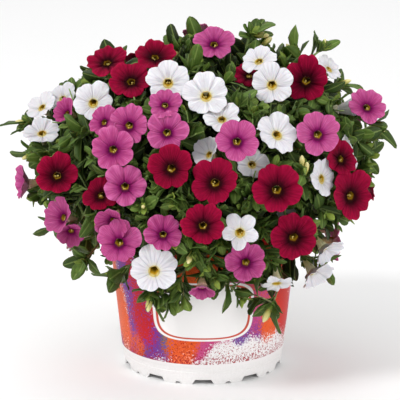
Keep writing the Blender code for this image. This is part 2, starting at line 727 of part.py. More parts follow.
def new_object(name, vertices, faces, look):
    """An object of one mesh, from millimetres, with its own material."""
    mesh = bpy.data.meshes.new(name)
    mesh.from_pydata([tuple(v) for v in np.asarray(vertices) * MM], [], [tuple(map(int, f)) for f in faces])
    mesh.validate()
    obj = bpy.data.objects.new(name, mesh)
    bpy.context.scene.collection.objects.link(obj)
    paint(obj, look)
    return obj


def paint(obj, look):
    """Gives an object a Principled material of its own."""
    colour, roughness = LOOKS[look]
    material = bpy.data.materials.new(obj.name)
    material.use_nodes = True
    shader = material.node_tree.nodes["Principled BSDF"]
    shader.inputs["Base Color"].default_value = colour
    shader.inputs["Roughness"].default_value = roughness
    shader.inputs["Metallic"].default_value = 0.0
    material.diffuse_color = colour
    obj.data.materials.clear()
    obj.data.materials.append(material)


def corolla(bloom):
    """A bloom as one closed shell: pit, limb of five lobes, its edge, its back, and the tube behind.

    Each lobe is a fan from a point of the throat's ring to a notch, two shoulders and the next notch.
    """
    width = bloom["width"]
    radius = limb_radius(bloom)
    notch = {"open": 0.84, "star": 0.62, "cupped": 0.86, "trumpet": 0.90}[bloom["form"]]
    shoulder = {"open": 1.0, "star": 0.98, "cupped": 1.0, "trumpet": 1.0}[bloom["form"]]
    spread = {"open": 22.0, "star": 29.0, "cupped": 22.0, "trumpet": 20.0}[bloom["form"]]
    throat = THROAT_SHARE * width
    tube = TUBE_SHARE * width
    down = LIMB_THICKNESS
    rim = []
    for lobe in range(5):
        for angle, share in ((0.0, notch), (spread, shoulder), (72.0 - spread, shoulder)):
            turn = math.radians(72.0 * lobe + angle)
            rim.append((radius * share * math.cos(turn), radius * share * math.sin(turn),
                        limb_height(share, bloom["form"]) * width))
    ring = [(math.cos(math.radians(72.0 * lobe + 36.0)), math.sin(math.radians(72.0 * lobe + 36.0)))
            for lobe in range(5)]
    points = [(0.0, 0.0, -0.45 * tube)]
    points += [(throat * x, throat * y, 0.0) for x, y in ring]
    points += rim
    points += [(x, y, z - down) for x, y, z in rim]
    points += [((throat + 0.9) * x, (throat + 0.9) * y, -0.12 * tube - down) for x, y in ring]
    points += [(TUBE_FOOT_RADIUS * x, TUBE_FOOT_RADIUS * y, -tube) for x, y in ring]
    top, front, back, collar, foot = 1, 6, 21, 36, 41
    faces = []
    for lobe in range(5):
        after = (lobe + 1) % 5
        faces.append((0, top + lobe, top + after))
        faces += limb_fan(top, front, lobe, after)
        faces += [face[::-1] for face in limb_fan(collar, back, lobe, after)]
        faces += [(collar + lobe, foot + lobe, foot + after), (collar + lobe, foot + after, collar + after)]
    for index in range(15):
        after = (index + 1) % 15
        faces += [(front + index, back + index, back + after), (front + index, back + after, front + after)]
    faces += [(foot, foot + 2, foot + 1), (foot, foot + 3, foot + 2), (foot, foot + 4, foot + 3)]
    local = np.array(points)
    across, above, out = bloom_axes(bloom)
    return bloom["at"] + local[:, :1] * across + local[:, 1:2] * above + local[:, 2:] * out, faces


def limb_fan(ring, rim, lobe, after):
    """The four triangles of one lobe, from its ring point out to the rim."""
    notch, first, second, last = (rim + (3 * lobe + step) % 15 for step in range(4))
    middle = ring + lobe
    return [(middle, notch, first), (middle, first, second), (middle, second, last),
            (middle, last, ring + after)]


def tube_mesh(path, radii, sides, roll=0.0):
    """A tube with flat ends along a path, with a radius at each point."""
    points = []
    faces = []
    across = None
    for index, at in enumerate(path):
        grow = unit(path[min(index + 1, len(path) - 1)] - path[max(index - 1, 0)])
        if across is None:
            across = frame_round(grow)[0]
        across = unit(across - grow * float(across @ grow))
        above = np.cross(grow, across)
        for side in range(sides):
            turn = math.tau * side / sides + roll
            points.append(at + radii[index] * (math.cos(turn) * across + math.sin(turn) * above))
    for index in range(len(path) - 1):
        for side in range(sides):
            a = index * sides + side
            b = index * sides + (side + 1) % sides
            faces += [(a, b, b + sides), (a, b + sides, a + sides)]
    last = (len(path) - 1) * sides
    faces += [(0, side + 1, side) for side in range(1, sides - 1)]
    faces += [(last, last + side, last + side + 1) for side in range(1, sides - 1)]
    return np.array(points), faces


def shoot_mesh(shoot, roll):
    """A shoot from a point on its parent's axis to its end, with its leaves and its cup, as one closed mesh.

    It is a tube of rings. Two close rings stand at each leaf, and the side between them that faces the
    leaf is left out for the leaf's root. A stalk ends in a cup that flares round the bloom's foot.
    """
    corners = shoot["corners"]
    runs = np.linalg.norm(np.diff(corners, axis=0), axis=1)
    marks = np.concatenate(((0.0,), np.cumsum(runs)))
    roots = {}
    for at, leaf in shoot["leaves"]:
        steps = np.linalg.norm(np.diff(shoot["path"][: at + 1], axis=0), axis=1)
        roots[float(steps.sum())] = leaf
    stations = [(SHOOT_START, None)]
    stations += [(mark, None) for mark in marks[1:-1] if all(abs(mark - root) > 1.0 for root in roots)]
    for root, leaf in roots.items():
        stations += [(root - LEAF_ROOT_HALF, leaf), (root + LEAF_ROOT_HALF, None)]
    stations += [(marks[-1], None)]
    stations.sort(key=lambda station: station[0])
    points = [corners[0]]
    faces = []
    across = None
    for index, (mark, _) in enumerate(stations):
        here = np.array([np.interp(mark, marks, corners[:, axis]) for axis in range(3)])
        ahead = np.array([np.interp(mark + 0.5, marks, corners[:, axis]) for axis in range(3)])
        behind = np.array([np.interp(mark - 0.5, marks, corners[:, axis]) for axis in range(3)])
        across, ring = ring_round(here, unit(ahead - behind), across, SHOOT_RADIUS, roll)
        points += ring
    faces += [(0, 1 + (side + 1) % 3, 1 + side) for side in range(3)]
    for index in range(len(stations) - 1):
        leaf = stations[index][1]
        low = 1 + 3 * index
        open_side = -1
        if leaf is not None:
            middles = [0.5 * (points[low + side] + points[low + (side + 1) % 3]) for side in range(3)]
            centre = sum(points[low + side] for side in range(3)) / 3.0
            open_side = int(np.argmax([unit(middle - centre) @ leaf["axes"][0] for middle in middles]))
        for side in range(3):
            a = low + side
            b = low + (side + 1) % 3
            if side != open_side:
                faces += [(a, b, b + 3), (a, b + 3, a + 3)]
            else:
                add_leaf(points, faces, leaf, (a, b, b + 3, a + 3))
    last = 1 + 3 * (len(stations) - 1)
    if shoot["cup"] is None:
        faces.append((last, last + 1, last + 2))
        return np.array(points), faces
    face = shoot["cup"]
    foot = corners[-1]
    across, ring = ring_round(foot + CUP_RIM * face, face, across, CUP_RADIUS, roll)
    rim = len(points)
    points += ring
    points.append(foot + CUP_DEPTH * face)
    for side in range(3):
        after = (side + 1) % 3
        faces += [(last + side, last + after, rim + after), (last + side, rim + after, rim + side)]
        faces.append((rim + side, rim + after, rim + 3))
    return np.array(points), faces


def ring_round(centre, grow, across, radius, roll):
    """Three points round a path, turned as little as may be from the ring before."""
    if across is None:
        across = frame_round(grow)[0]
        across = math.cos(roll) * across + math.sin(roll) * np.cross(grow, across)
    across = unit(across - grow * float(across @ grow))
    above = np.cross(grow, across)
    turns = [math.tau * side / 3 for side in range(3)]
    return across, [centre + radius * (math.cos(turn) * across + math.sin(turn) * above) for turn in turns]


def add_leaf(points, faces, leaf, root):
    """Adds a blade split alike on both faces, from its root's four points by its widest place to its tip."""
    low_right, low_left, high_left, high_right = root
    share = np.array((LEAF_WIDEST, LEAF_WIDEST, 1.0))
    aside = np.array((1.0, -1.0, 0.0)) * leaf["half"]
    start = len(points)
    points += list(leaf_points(leaf, share, aside, 0.5 * LEAF_THICKNESS))
    points += list(leaf_points(leaf, share[:2], aside[:2], -0.5 * LEAF_THICKNESS))
    right, left, tip, right_low, left_low = range(start, start + 5)
    faces += [(high_left, high_right, right), (high_left, right, left), (left, right, tip)]
    faces += [(low_left, right_low, low_right), (low_left, left_low, right_low), (left_low, tip, right_low)]
    faces += [(low_right, right_low, right), (low_right, right, high_right), (right_low, tip, right)]
    faces += [(low_left, left, left_low), (low_left, high_left, left), (left_low, left, tip)]


def stem_radii(count):
    """Radii of a main stem from its foot to its end."""
    return np.linspace(STEM_RADIUS[0], STEM_RADIUS[1], count)


def join(name, meshes, look, solver):
    """One solid from many closed meshes, by a Boolean union on a collection."""
    first = new_object(name, *meshes[0], look)
    if len(meshes) == 1:
        return first
    rest = bpy.data.collections.new(name + "_parts")
    bpy.context.scene.collection.children.link(rest)
    for index, (points, faces) in enumerate(meshes[1:]):
        piece = new_object(f"{name}_part_{index}", points, faces, look)
        bpy.context.scene.collection.objects.unlink(piece)
        rest.objects.link(piece)
    union = first.modifiers.new("union", "BOOLEAN")
    union.operation = "UNION"
    union.operand_type = "COLLECTION"
    union.collection = rest
    union.solver = solver
    graph = bpy.context.evaluated_depsgraph_get()
    made = bpy.data.meshes.new_from_object(first.evaluated_get(graph))
    first.modifiers.clear()
    first.data = made
    for piece in list(rest.objects):
        bpy.data.objects.remove(piece)
    bpy.data.collections.remove(rest)
    drop_crumbs(made)
    paint(first, look)
    return first


def drop_crumbs(mesh):
    """Removes the loose crumbs that a union leaves where a blade crosses its own shoot."""
    made = bmesh.new()
    made.from_mesh(mesh)
    left = set(made.verts)
    while left:
        island = {left.pop()}
        edge = list(island)
        while edge:
            vertex = edge.pop()
            found = {link.other_vert(vertex) for link in vertex.link_edges} - island
            island |= found
            edge += found
        left -= island
        if len(island) <= CRUMB_POINTS:
            bmesh.ops.delete(made, geom=list(island), context="VERTS")
    made.to_mesh(mesh)
    made.free()


def plant_solid(plant):
    """A plant's main stems with all their stalks, shoots, cups and leaves as one solid.

    A few blades cross their own shoot. The EXACT solver leaves loose pieces there, and MANIFOLD does not.
    """
    meshes = []
    for fork, corners in enumerate(plant["stems"]):
        if fork == 0:
            corners = np.vstack((plant["base"] - (0.0, 0.0, HOLE_DEPTH - 1.0), corners))
        radii = stem_radii(len(corners)) * (1.0 - 0.12 * fork)
        meshes.append(tube_mesh(corners, radii, STEM_SIDES, 0.3 * fork))
    meshes += [shoot_mesh(shoot, 0.37 * index) for index, shoot in enumerate(plant["shoots"])]
    return join(plant["name"], meshes, "stem", "MANIFOLD")


def turned(name, profile, sides, look):
    """A solid turned from a closed profile of radii and heights, or from one that meets the axis."""
    mesh = bpy.data.meshes.new(name)
    work = bmesh.new()
    points = [work.verts.new((radius * MM, 0.0, height * MM)) for radius, height in profile]
    closed = min(radius for radius, _ in profile) > 0.0
    pairs = zip(points, points[1:] + points[:1]) if closed else zip(points, points[1:])
    edges = [work.edges.new(pair) for pair in pairs]
    bmesh.ops.spin(work, geom=points + edges, cent=(0, 0, 0), axis=(0, 0, 1), angle=math.tau, steps=sides,
                   use_merge=True)
    bmesh.ops.remove_doubles(work, verts=work.verts, dist=0.00001)
    bmesh.ops.recalc_face_normals(work, faces=work.faces)
    work.to_mesh(mesh)
    work.free()
    obj = bpy.data.objects.new(name, mesh)
    bpy.context.scene.collection.objects.link(obj)
    paint(obj, look)
    return obj


def wall_radius(height):
    """The pot's outer radius at a height."""
    return POT_FOOT_RADIUS + POT_FLARE * height


def box_cutter(name, size, at, turn):
    """A hidden block for a cut."""
    work = bmesh.new()
    bmesh.ops.create_cube(work, size=1.0)
    bmesh.ops.scale(work, verts=work.verts, vec=[side * MM for side in size])
    mesh = bpy.data.meshes.new(name)
    work.to_mesh(mesh)
    work.free()
    obj = bpy.data.objects.new(name, mesh)
    obj.location = [value * MM for value in at]
    obj.rotation_euler = (0.0, 0.0, turn)
    return obj


def cut(obj, cutters):
    """Cuts hidden bodies out of an object, and removes them."""
    group = bpy.data.collections.new(obj.name + "_cutters")
    bpy.context.scene.collection.children.link(group)
    for cutter in cutters:
        cutter.hide_render = True
        cutter.display_type = "WIRE"
        group.objects.link(cutter)
    hole = obj.modifiers.new("cut", "BOOLEAN")
    hole.operation = "DIFFERENCE"
    hole.operand_type = "COLLECTION"
    hole.collection = group
    hole.solver = "EXACT"
    graph = bpy.context.evaluated_depsgraph_get()
    made = bpy.data.meshes.new_from_object(obj.evaluated_get(graph))
    obj.modifiers.clear()
    obj.data = made
    for cutter in list(group.objects):
        bpy.data.objects.remove(cutter)
    bpy.data.collections.remove(group)


def build_pot():
    """The pot: tapered wall with a label step and a rim bead, a raised floor, and a foot with notches."""
    step = LABEL_STEP
    top = POT_HEIGHT
    bead = top - RIM_BEAD_HEIGHT
    floor_top = FLOOR_HEIGHT + FLOOR_THICKNESS
    profile = [
        (wall_radius(0.0), 0.0),
        (wall_radius(LABEL_LOW), LABEL_LOW),
        (wall_radius(LABEL_LOW) + step, LABEL_LOW + step),
        (wall_radius(bead) + step, bead - step),
        (wall_radius(top) + RIM_BEAD, bead + 0.6),
        (wall_radius(top) + RIM_BEAD, top - 0.6),
        (wall_radius(top) + RIM_BEAD - 0.7, top),
        (wall_radius(top) - POT_WALL, top),
        (wall_radius(floor_top) - POT_WALL, floor_top),
        (0.0, floor_top),
        (0.0, FLOOR_HEIGHT),
        (wall_radius(FLOOR_HEIGHT) - POT_WALL, FLOOR_HEIGHT),
        (wall_radius(0.0) - POT_WALL, 0.0),
    ]
    pot = turned("pot", closed_on_axis(profile), POT_SIDES, "pot")
    cutters = []
    for notch in range(FOOT_NOTCHES):
        turn = math.tau * (notch + 0.5) / FOOT_NOTCHES
        out = wall_radius(0.0)
        cutters.append(box_cutter(f"notch_{notch}", (8.0, FOOT_NOTCH_WIDTH, 2 * FOOT_NOTCH_HEIGHT),
                                  (out * math.cos(turn), out * math.sin(turn), 0.0), turn))
    cut(pot, cutters)
    paint(pot, "pot")
    smooth(pot)


def closed_on_axis(profile):
    """The profile started at its point on the axis, so that it runs from the axis round to the axis."""
    on_axis = [index for index, (radius, _) in enumerate(profile) if radius == 0.0]
    start = on_axis[-1]
    return profile[start:] + profile[:start]


def build_soil(stems):
    """The soil: a plug that clears the pot, slightly crowned, with a plain hole for each stem."""
    low = FLOOR_HEIGHT + FLOOR_THICKNESS + GAP
    inner = POT_WALL + 0.4
    profile = [
        (0.0, low),
        (wall_radius(low) - inner, low),
        (wall_radius(SOIL_TOP - 1.0) - inner, SOIL_TOP - 1.0),
        (wall_radius(SOIL_TOP) * 0.72, SOIL_TOP + 1.2),
        (wall_radius(SOIL_TOP) * 0.36, SOIL_TOP + 0.2),
        (0.0, SOIL_TOP + 1.5),
    ]
    soil = turned("soil", profile, SOIL_SIDES, "soil")
    cutters = []
    for stem in stems:
        work = bmesh.new()
        radius = (STEM_RADIUS[0] + 0.5) * MM
        bmesh.ops.create_cone(work, cap_ends=True, segments=HOLE_SIDES, radius1=radius, radius2=radius,
                              depth=2 * HOLE_DEPTH * MM)
        mesh = bpy.data.meshes.new("hole")
        work.to_mesh(mesh)
        work.free()
        hole = bpy.data.objects.new("hole", mesh)
        hole.location = [value * MM for value in stem["base"]]
        cutters.append(hole)
    cut(soil, cutters)
    paint(soil, "soil")
    smooth(soil)


def smooth(obj):
    """Shades a turned piece smooth, but for its true edges."""
    obj.data.shade_smooth()
    obj.data.set_sharp_from_angle(angle=SMOOTH_ANGLE)


def clear_scene():
    """Removes the startup objects."""
    for obj in list(bpy.data.objects):
        bpy.data.objects.remove(obj)


def recentre():
    """Moves the whole object so that the origin lies under the middle of its box."""
    shift = Matrix.Translation([value * MM for value in RECENTRE])
    for obj in bpy.data.objects:
        obj.data.transform(shift)


def main():
    clear_scene()
    blooms, stems = plan_plant()
    build_pot()
    build_soil(stems)
    for plant in stems:
        plant_solid(plant)
    for node in sorted({bloom["node"] for bloom in blooms}):
        members = [corolla(bloom) for bloom in blooms if bloom["node"] == node]
        join("bloom_" + node, members, node.split("_")[0], "EXACT")
    recentre()


main()
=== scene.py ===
"""The looks of a calibrachoa in white, crimson and pink bloom in its round nursery pot.

The plan of the plant repeats the solids' plan: the same places, the same draws in the same order, so each
fine bloom, stem and leaf lies where its solid is. Finer pieces then replace the solids. Calyces, anthers,
buds, young leaves and leafy side shoots are added. Sizes are millimetres until a mesh is made, and the
print's sizes are metres.
"""

import math

import bpy
import numpy as np
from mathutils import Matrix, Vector
from mathutils.bvhtree import BVHTree
from mathutils.kdtree import KDTree


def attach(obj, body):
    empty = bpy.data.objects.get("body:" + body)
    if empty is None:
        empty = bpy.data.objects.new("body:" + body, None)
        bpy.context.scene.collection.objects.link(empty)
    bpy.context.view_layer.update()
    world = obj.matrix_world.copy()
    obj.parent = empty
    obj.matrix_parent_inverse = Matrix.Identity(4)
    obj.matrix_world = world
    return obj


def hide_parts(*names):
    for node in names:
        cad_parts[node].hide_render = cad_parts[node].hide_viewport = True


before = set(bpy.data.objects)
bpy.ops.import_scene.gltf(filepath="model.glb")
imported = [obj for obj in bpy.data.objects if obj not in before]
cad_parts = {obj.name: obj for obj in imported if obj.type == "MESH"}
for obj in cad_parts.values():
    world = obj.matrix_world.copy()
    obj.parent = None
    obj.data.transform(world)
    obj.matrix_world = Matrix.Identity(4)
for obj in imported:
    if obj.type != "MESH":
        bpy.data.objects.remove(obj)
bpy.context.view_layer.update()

MM = 0.001
GAP = 0.3

# The photo's view, which places each bloom and leafy tip that it shows
PHOTO_TILT = math.radians(13.0)
PHOTO_DISTANCE = 1150.0
PHOTO_FOCAL_PX = 1643.0
PHOTO_MIDDLE_PX = (200.0, 200.0)
PHOTO_AIM = np.array((-2.1, 0.0, 116.5))

# The mound of foliage and blooms
MOUND_CENTRE_X = -1.0
MOUND_WAIST_Z = 130.0
MOUND_WIDE = 120.0
MOUND_DEEP = 104.0
MOUND_BACK = 114.0
MOUND_HIGH = 100.0
HEM_WIDE = 92.0
HEM_DEEP = 90.0
HEM_DROP = 55.0

# The pot
POT_HEIGHT = 108.0
POT_FOOT_RADIUS = 55.8
POT_FLARE = 0.103
POT_WALL = 1.3
RIM_BEAD = 1.4
RIM_BEAD_HEIGHT = 5.0
LABEL_LOW = 12.5
LABEL_STEP = 0.5
FLOOR_HEIGHT = 6.5
FLOOR_THICKNESS = 1.5
FOOT_NOTCHES = 10
FOOT_NOTCH_WIDTH = 13.0
FOOT_NOTCH_HEIGHT = 3.2
SOIL_TOP = 97.0
SOIL_CROWN = 3.0
HOLE_DEPTH = 12.0

# Stems, leaves and blooms
STEMS_PER_COLOUR = 3
PLANT_RING = 17.0
PLANT_AZIMUTHS = (210.0, 330.0, 90.0)
FORK_STEP = 4.5
FORK_RUN = 14.0
STEM_CLEARANCE = 4.2
STEM_SKIN = 1.2
STEM_SHIFTS = ((0, 0, 0), (0, 0, 14), (14, 0, 0), (-14, 0, 0), (0, 14, 0), (0, -14, 0), (0, 0, -14),
               (22, 0, 10), (-22, 0, 10), (0, 22, 10), (0, -22, 10),
               (20, 20, 0), (-20, 20, 0), (20, -20, 0), (-20, -20, 0))
STEM_RADIUS = (1.8, 1.1)
SHOOT_RADIUS = 0.85
SHOOT_PART_LENGTH = 19.0
LEAF_ROOT_PITCH = 2.2
CUP_RADIUS = 2.9
CUP_RIM = 2.6
STEM_PARTS = 5
LIMB_THICKNESS = 0.8
THROAT_SHARE = 0.125
TUBE_SHARE = 0.44
TUBE_FOOT_RADIUS = 1.3
CUP_HEIGHT = 3.2
SAMPLE_STEP = 1.7
CLEARANCE = 2.5
SHOOT_CLEARANCE = 2.3
CUP_CLEARANCE = 1.3
SEED = 11
MEETING_FACES = 8
STALK_LEANS = ((0.0, 0.0), (0.6, 0.0), (-0.6, 0.0), (0.0, 0.6), (0.0, -0.6), (1.2, 0.0), (-1.2, 0.0),
               (0.0, 1.2))
LEAF_SWINGS = (0.0, 0.45, -0.45, 0.9, -0.9, 1.5, -1.5, 2.2, 3.1)
TIP_SHIFTS = ((0, 0, 0), (0, 0, 4), (4, 0, 0), (-4, 0, 0), (0, 0, -4), (0, -5, 0), (0, 5, 0))
TIP_STEPS = (0.0, 1.6, 3.2, 5.5, 8.5)
TIP_SPLAYS = (0.35, 0.5, 0.75, 0.9, 1.0)
HANGING_LEANS = (0.0, 0.5, -0.5, 0.9, -0.9)
MOST_PULL = 30
DRIFTS = (0, 3, -3, 6, -6)
SLIDES = (0, 1, -1, 2, -2, 3, -3, 4, -4, 5, -5, 6, -6, 7, -7, 8, -8, 9, 10, 12, 14, 16, 18, 20, 23, 26)

COLOURS = ("white", "red", "pink")

# Blooms of the photo: node, pixel across and down, yaw to the right, pitch up, width, lift, and its form
# where it isn't fully open
FRONT_BLOOMS = (
    ("white_01", 42, 106, -35, 35, 25, 1.0), ("white_01", 42, 135, -5, 45, 27, 1.0),
    ("white_01", 64, 97, -25, 25, 24, 0.96), ("white_02", 93, 101, -10, 10, 28, 1.0),
    ("white_03", 168, 81, 0, 8, 29, 1.02), ("white_03", 209, 95, 0, 20, 32, 1.04),
    ("white_03", 222, 118, 0, 35, 25, 0.92), ("white_04", 272, 83, 0, 5, 29, 1.02),
    ("white_04", 259, 60, -20, 40, 25, 0.97), ("white_05", 277, 133, 25, 25, 30, 1.02),
    ("white_06", 209, 153, -40, 20, 23, 0.88, "cupped"), ("white_07", 154, 269, 0, -5, 32, 1.06),
    ("white_08", 240, 231, 0, -10, 28, 1.02, "star"), ("white_09", 277, 284, 10, -65, 26, 1.02, "star"),
    ("white_10", 314, 272, 50, -45, 27, 1.0, "cupped"),
    ("white_10", 328, 243, 55, -45, 26, 1.0, "cupped"), ("white_11", 322, 177, 50, 5, 27, 0.97),
    ("white_12", 349, 152, 70, 20, 25, 0.94), ("white_13", 340, 108, 70, 5, 20, 0.95, "trumpet"),
    ("white_14", 329, 68, 45, 35, 22, 0.93), ("white_15", 252, 163, 10, 25, 24, 0.88),
    ("red_01", 131, 80, -5, 32, 31, 1.0), ("red_01", 155, 56, 5, 40, 29, 1.0),
    ("red_01", 108, 66, -10, 40, 29, 1.0), ("red_02", 306, 79, -20, 8, 33, 1.0),
    ("red_03", 57, 174, -5, 15, 30, 1.0), ("red_04", 101, 194, -20, 20, 26, 0.93),
    ("red_05", 215, 181, -12, 10, 32, 1.03), ("red_05", 203, 224, 5, 15, 29, 1.0),
    ("red_06", 171, 167, -12, 0, 30, 1.0), ("red_07", 277, 188, 8, 5, 34, 1.04),
    ("red_08", 351, 194, 35, 0, 35, 1.0), ("red_08", 333, 162, 35, 10, 27, 0.95),
    ("red_09", 294, 236, 10, -15, 33, 1.04), ("red_10", 249, 75, 0, 35, 22, 0.88),
    ("pink_01", 214, 43, 0, 35, 29, 1.0), ("pink_02", 367, 106, 15, 25, 28, 1.0),
    ("pink_03", 129, 124, -15, 0, 28, 1.0), ("pink_03", 113, 148, -5, 0, 29, 1.02),
    ("pink_03", 104, 121, -30, 20, 23, 0.93), ("pink_03", 125, 185, 0, 5, 29, 1.02),
    ("pink_04", 167, 131, 0, 10, 28, 1.02), ("pink_04", 165, 104, 0, 25, 23, 0.94),
    ("pink_05", 237, 140, 0, 5, 29, 1.02), ("pink_06", 318, 133, 10, 0, 30, 1.02),
    ("pink_07", 26, 182, -70, 0, 26, 1.0, "cupped"), ("pink_08", 63, 216, -45, 10, 28, 1.0, "cupped"),
    ("pink_08", 78, 244, 0, -40, 22, 1.0, "cupped"), ("pink_09", 119, 241, -5, 0, 30, 1.04),
    ("pink_09", 113, 220, -20, -35, 26, 1.0, "cupped"), ("pink_10", 163, 233, 0, 15, 26, 1.0),
    ("pink_11", 246, 261, 5, -10, 28, 1.05), ("pink_12", 202, 288, 0, -60, 19, 1.02, "cupped"),
    ("pink_13", 67, 112, -40, 20, 21, 0.95, "cupped"),
)

# Rows round the back: height, then each node with its count of blooms and its azimuth
BACK_ROWS = (
    (88.0, (("pink_14", 2, 12), ("white_16", 1, 50), ("red_11", 1, 88), ("pink_15", 1, 128),
            ("white_17", 2, 164))),
    (127.0, (("red_12", 1, 8), ("white_18", 2, 40), ("pink_16", 2, 84), ("red_13", 1, 118),
             ("white_19", 2, 152))),
    (166.0, (("pink_17", 1, 18), ("red_14", 2, 56), ("white_20", 1, 96), ("pink_18", 2, 138))),
    (200.0, (("white_21", 2, 55), ("red_15", 2, 122))),
    (224.0, (("pink_19", 2, 88),)),
)
BACK_SPREAD = 15.0

# Leafy tips of the photo: pixel across and down, turn on the picture from right, lift, leaves
FRONT_TIPS = (
    (251, 27, 100, 1.04, 4), (263, 40, 60, 1.0, 4), (297, 47, 85, 1.0, 3), (323, 48, 75, 1.02, 4),
    (341, 78, 60, 1.0, 4), (383, 125, 10, 1.02, 4), (375, 138, -20, 1.0, 3), (180, 46, 120, 0.98, 4),
    (195, 62, 60, 0.98, 3), (27, 152, 170, 0.98, 4), (40, 158, 200, 1.0, 3), (66, 86, 135, 1.0, 4),
    (22, 121, 165, 1.0, 3), (76, 130, 180, 0.98, 4), (50, 226, 200, 1.0, 4), (90, 221, 230, 1.0, 4),
    (115, 279, 235, 0.98, 3), (150, 299, 260, 1.0, 4), (178, 291, 265, 1.0, 4), (213, 283, 280, 0.98, 4),
    (276, 305, 290, 0.98, 2), (176, 205, 240, 1.0, 4), (187, 214, 300, 1.0, 4), (240, 101, 60, 0.97, 4),
    (303, 163, 80, 0.98, 4), (312, 172, 30, 0.97, 3), (356, 141, 30, 1.0, 4), (254, 205, 270, 0.96, 4),
    (140, 215, 250, 0.96, 3), (193, 258, 270, 0.98, 3), (266, 262, 290, 0.97, 3), (190, 128, 90, 0.93, 3),
    (300, 108, 60, 0.95, 3), (184, 241, 270, 0.97, 3), (143, 229, 240, 0.97, 3), (222, 249, 280, 0.97, 3),
    (266, 238, 300, 0.97, 3),
)

# Leafy tips round the back: height, and how many in the row from azimuth 0 to 180
BACK_TIP_LEAVES = 3
BACK_TIPS = ((106.0, 5), (147.0, 6), (184.0, 4), (212.0, 3), (230.0, 2))

# Leafy tips that fill the sides and the hem at the back: height, first azimuth, last azimuth, how many
SIDE_TIP_LEAVES = 3
SIDE_TIPS = ((80.0, -35.0, 215.0, 8), (126.0, -20.0, 200.0, 4), (166.0, -10.0, 190.0, 3))

# How far the finished object is moved, so that its origin lies under the middle of its box
RECENTRE = (3.35, 2.9, 0.0)

# How finely the pieces are drawn
LOBE_COLUMNS = 14
STEM_COLUMNS = 7
SPRIG_COLUMNS = 5
CALYX_COLUMNS = 10
BEAD_COLUMNS = 5
BUD_COLUMNS = 15
POT_COLUMNS = 320
SOIL_COLUMNS = 120
EASINGS = 5

# A bloom's lobes, with widths in degrees of turn: half a lobe, the rim's radius at a seam by the bloom's
# form, how wide seams cut in, how wide creases are, where lobes of unlike length even out, and how much
# the columns crowd at the seams
LOBES = 5
LOBE_HALF = 36.0
NOTCH = {"open": 0.79, "star": 0.60, "cupped": 0.82, "trumpet": 0.87}
SINUS_WIDTH = {"open": 12.0, "star": 20.0, "cupped": 12.0, "trumpet": 10.0}
CREASE_WIDTH = 7.0
SEAM_WIDTH = 9.0
COLUMN_CROWDING = 0.09

# What differs from bloom to bloom: its lobes' lengths and nicks, its seams' depth and its lobes' lean. Then
# the waves of its face and of its edge: their height and their count round the bloom
LOBE_LENGTHS = (0.94, 1.03)
NICK_DEPTHS = (0.01, 0.10)
SEAM_DEPTHS = (0.02, 0.055)
LOBE_LEANS = (-0.045, 0.035)
FACE_WAVES = ((0.016, 5.0), (0.018, 10.0), (0.018, 2.0), (0.012, 17.0))
EDGE_WAVES = ((0.009, 13.0), (0.030, 3.0))

# A limb's relief, as shares of the bloom's width
LIMB_CROWN = 0.014
RIB_DEPTH = 0.014
RIM_ROLL = 0.030
THROAT_DIP = 0.030

# A bloom's rows. Back and front: share of the way from throat to rim, and depth under the petal's face.
# Tube: share of its length, and radius from its foot on. Pit: share of the throat, depth as a share of the
# bloom's width, and place
BACK_SHARES = np.array((0.0, 0.2, 0.45, 0.7, 0.9, 1.0))
BACK_DEPTHS = np.array((1.1, 0.85, 0.65, 0.5, 0.42, 0.40))
FRONT_SHARES = np.array((1.0, 0.985, 0.93, 0.84, 0.72, 0.58, 0.44, 0.30, 0.18, 0.09, 0.02))
FRONT_DEPTHS = np.array((0.12, 0.0, 0.0, 0.0, 0.0, 0.0, 0.0, 0.0, 0.0, 0.05, 0.15))
TUBE_SHARES = np.array((1.0, 0.93, 0.78, 0.58, 0.38, 0.22, 0.12))
TUBE_RADII = (TUBE_FOOT_RADIUS, 1.35, 1.75, 2.3, 2.9, 3.5)
TUBE_MOUTH = 0.55
PIT_SHARES = np.array((0.93, 0.80, 0.62, 0.42, 0.22))
PIT_DEPTHS = np.array((0.012, 0.045, 0.095, 0.150, 0.190))
PIT_PLACES = np.array((0.90, 0.72, 0.50, 0.30, 0.12))
PIT_FLOOR = 0.2

# The throat is narrower than the solid's, it sags, and the pit behind it leans the other way
THROAT_NARROWED = 0.80
THROAT_SAG = 0.055
PIT_LEAN = -1.2

# The place along a petal, which its colours follow: 0 in the pit, about 0.2 at the throat, 1 at the rim,
# 1.8 behind the throat and 2.5 at the tube's foot
PLACE_THROAT = 0.25
PLACE_BACK = 2.0
PLACE_TUBE = 0.75
PLACE_FULL = 2.5

# Leaf: shares of its length, its width there, and its ring as shares aside, the bulge of its two halves and
# its thickness under the rib. Then its ripple, how deep its root is sunk, and the turn from leaf to leaf
LEAF_SHARES = np.array((0.0, 0.10, 0.26, 0.46, 0.66, 0.84, 0.95))
LEAF_SPOON = np.array((0.13, 0.36, 0.80, 1.09, 1.12, 0.84, 0.44))
LEAF_ASIDE = np.array((-1.0, -0.52, 0.0, 0.52, 1.0, 0.0))
LEAF_BULGE = np.array((0.0, 0.10, 0.0, 0.10, 0.0, 0.0))
LEAF_UNDER = np.array((0.0, 0.0, 0.0, 0.0, 0.0, -0.42))
LEAF_RIPPLE = 0.035
HEEL_DEPTH = 0.2
GOLDEN_TURN = 2.4

# Anthers
ANTHERS = 3
ANTHER_LENGTH = 1.9
ANTHER_RADIUS = 0.5
ANTHER_HEIGHTS = np.array((-0.6, 0.1, 0.7))

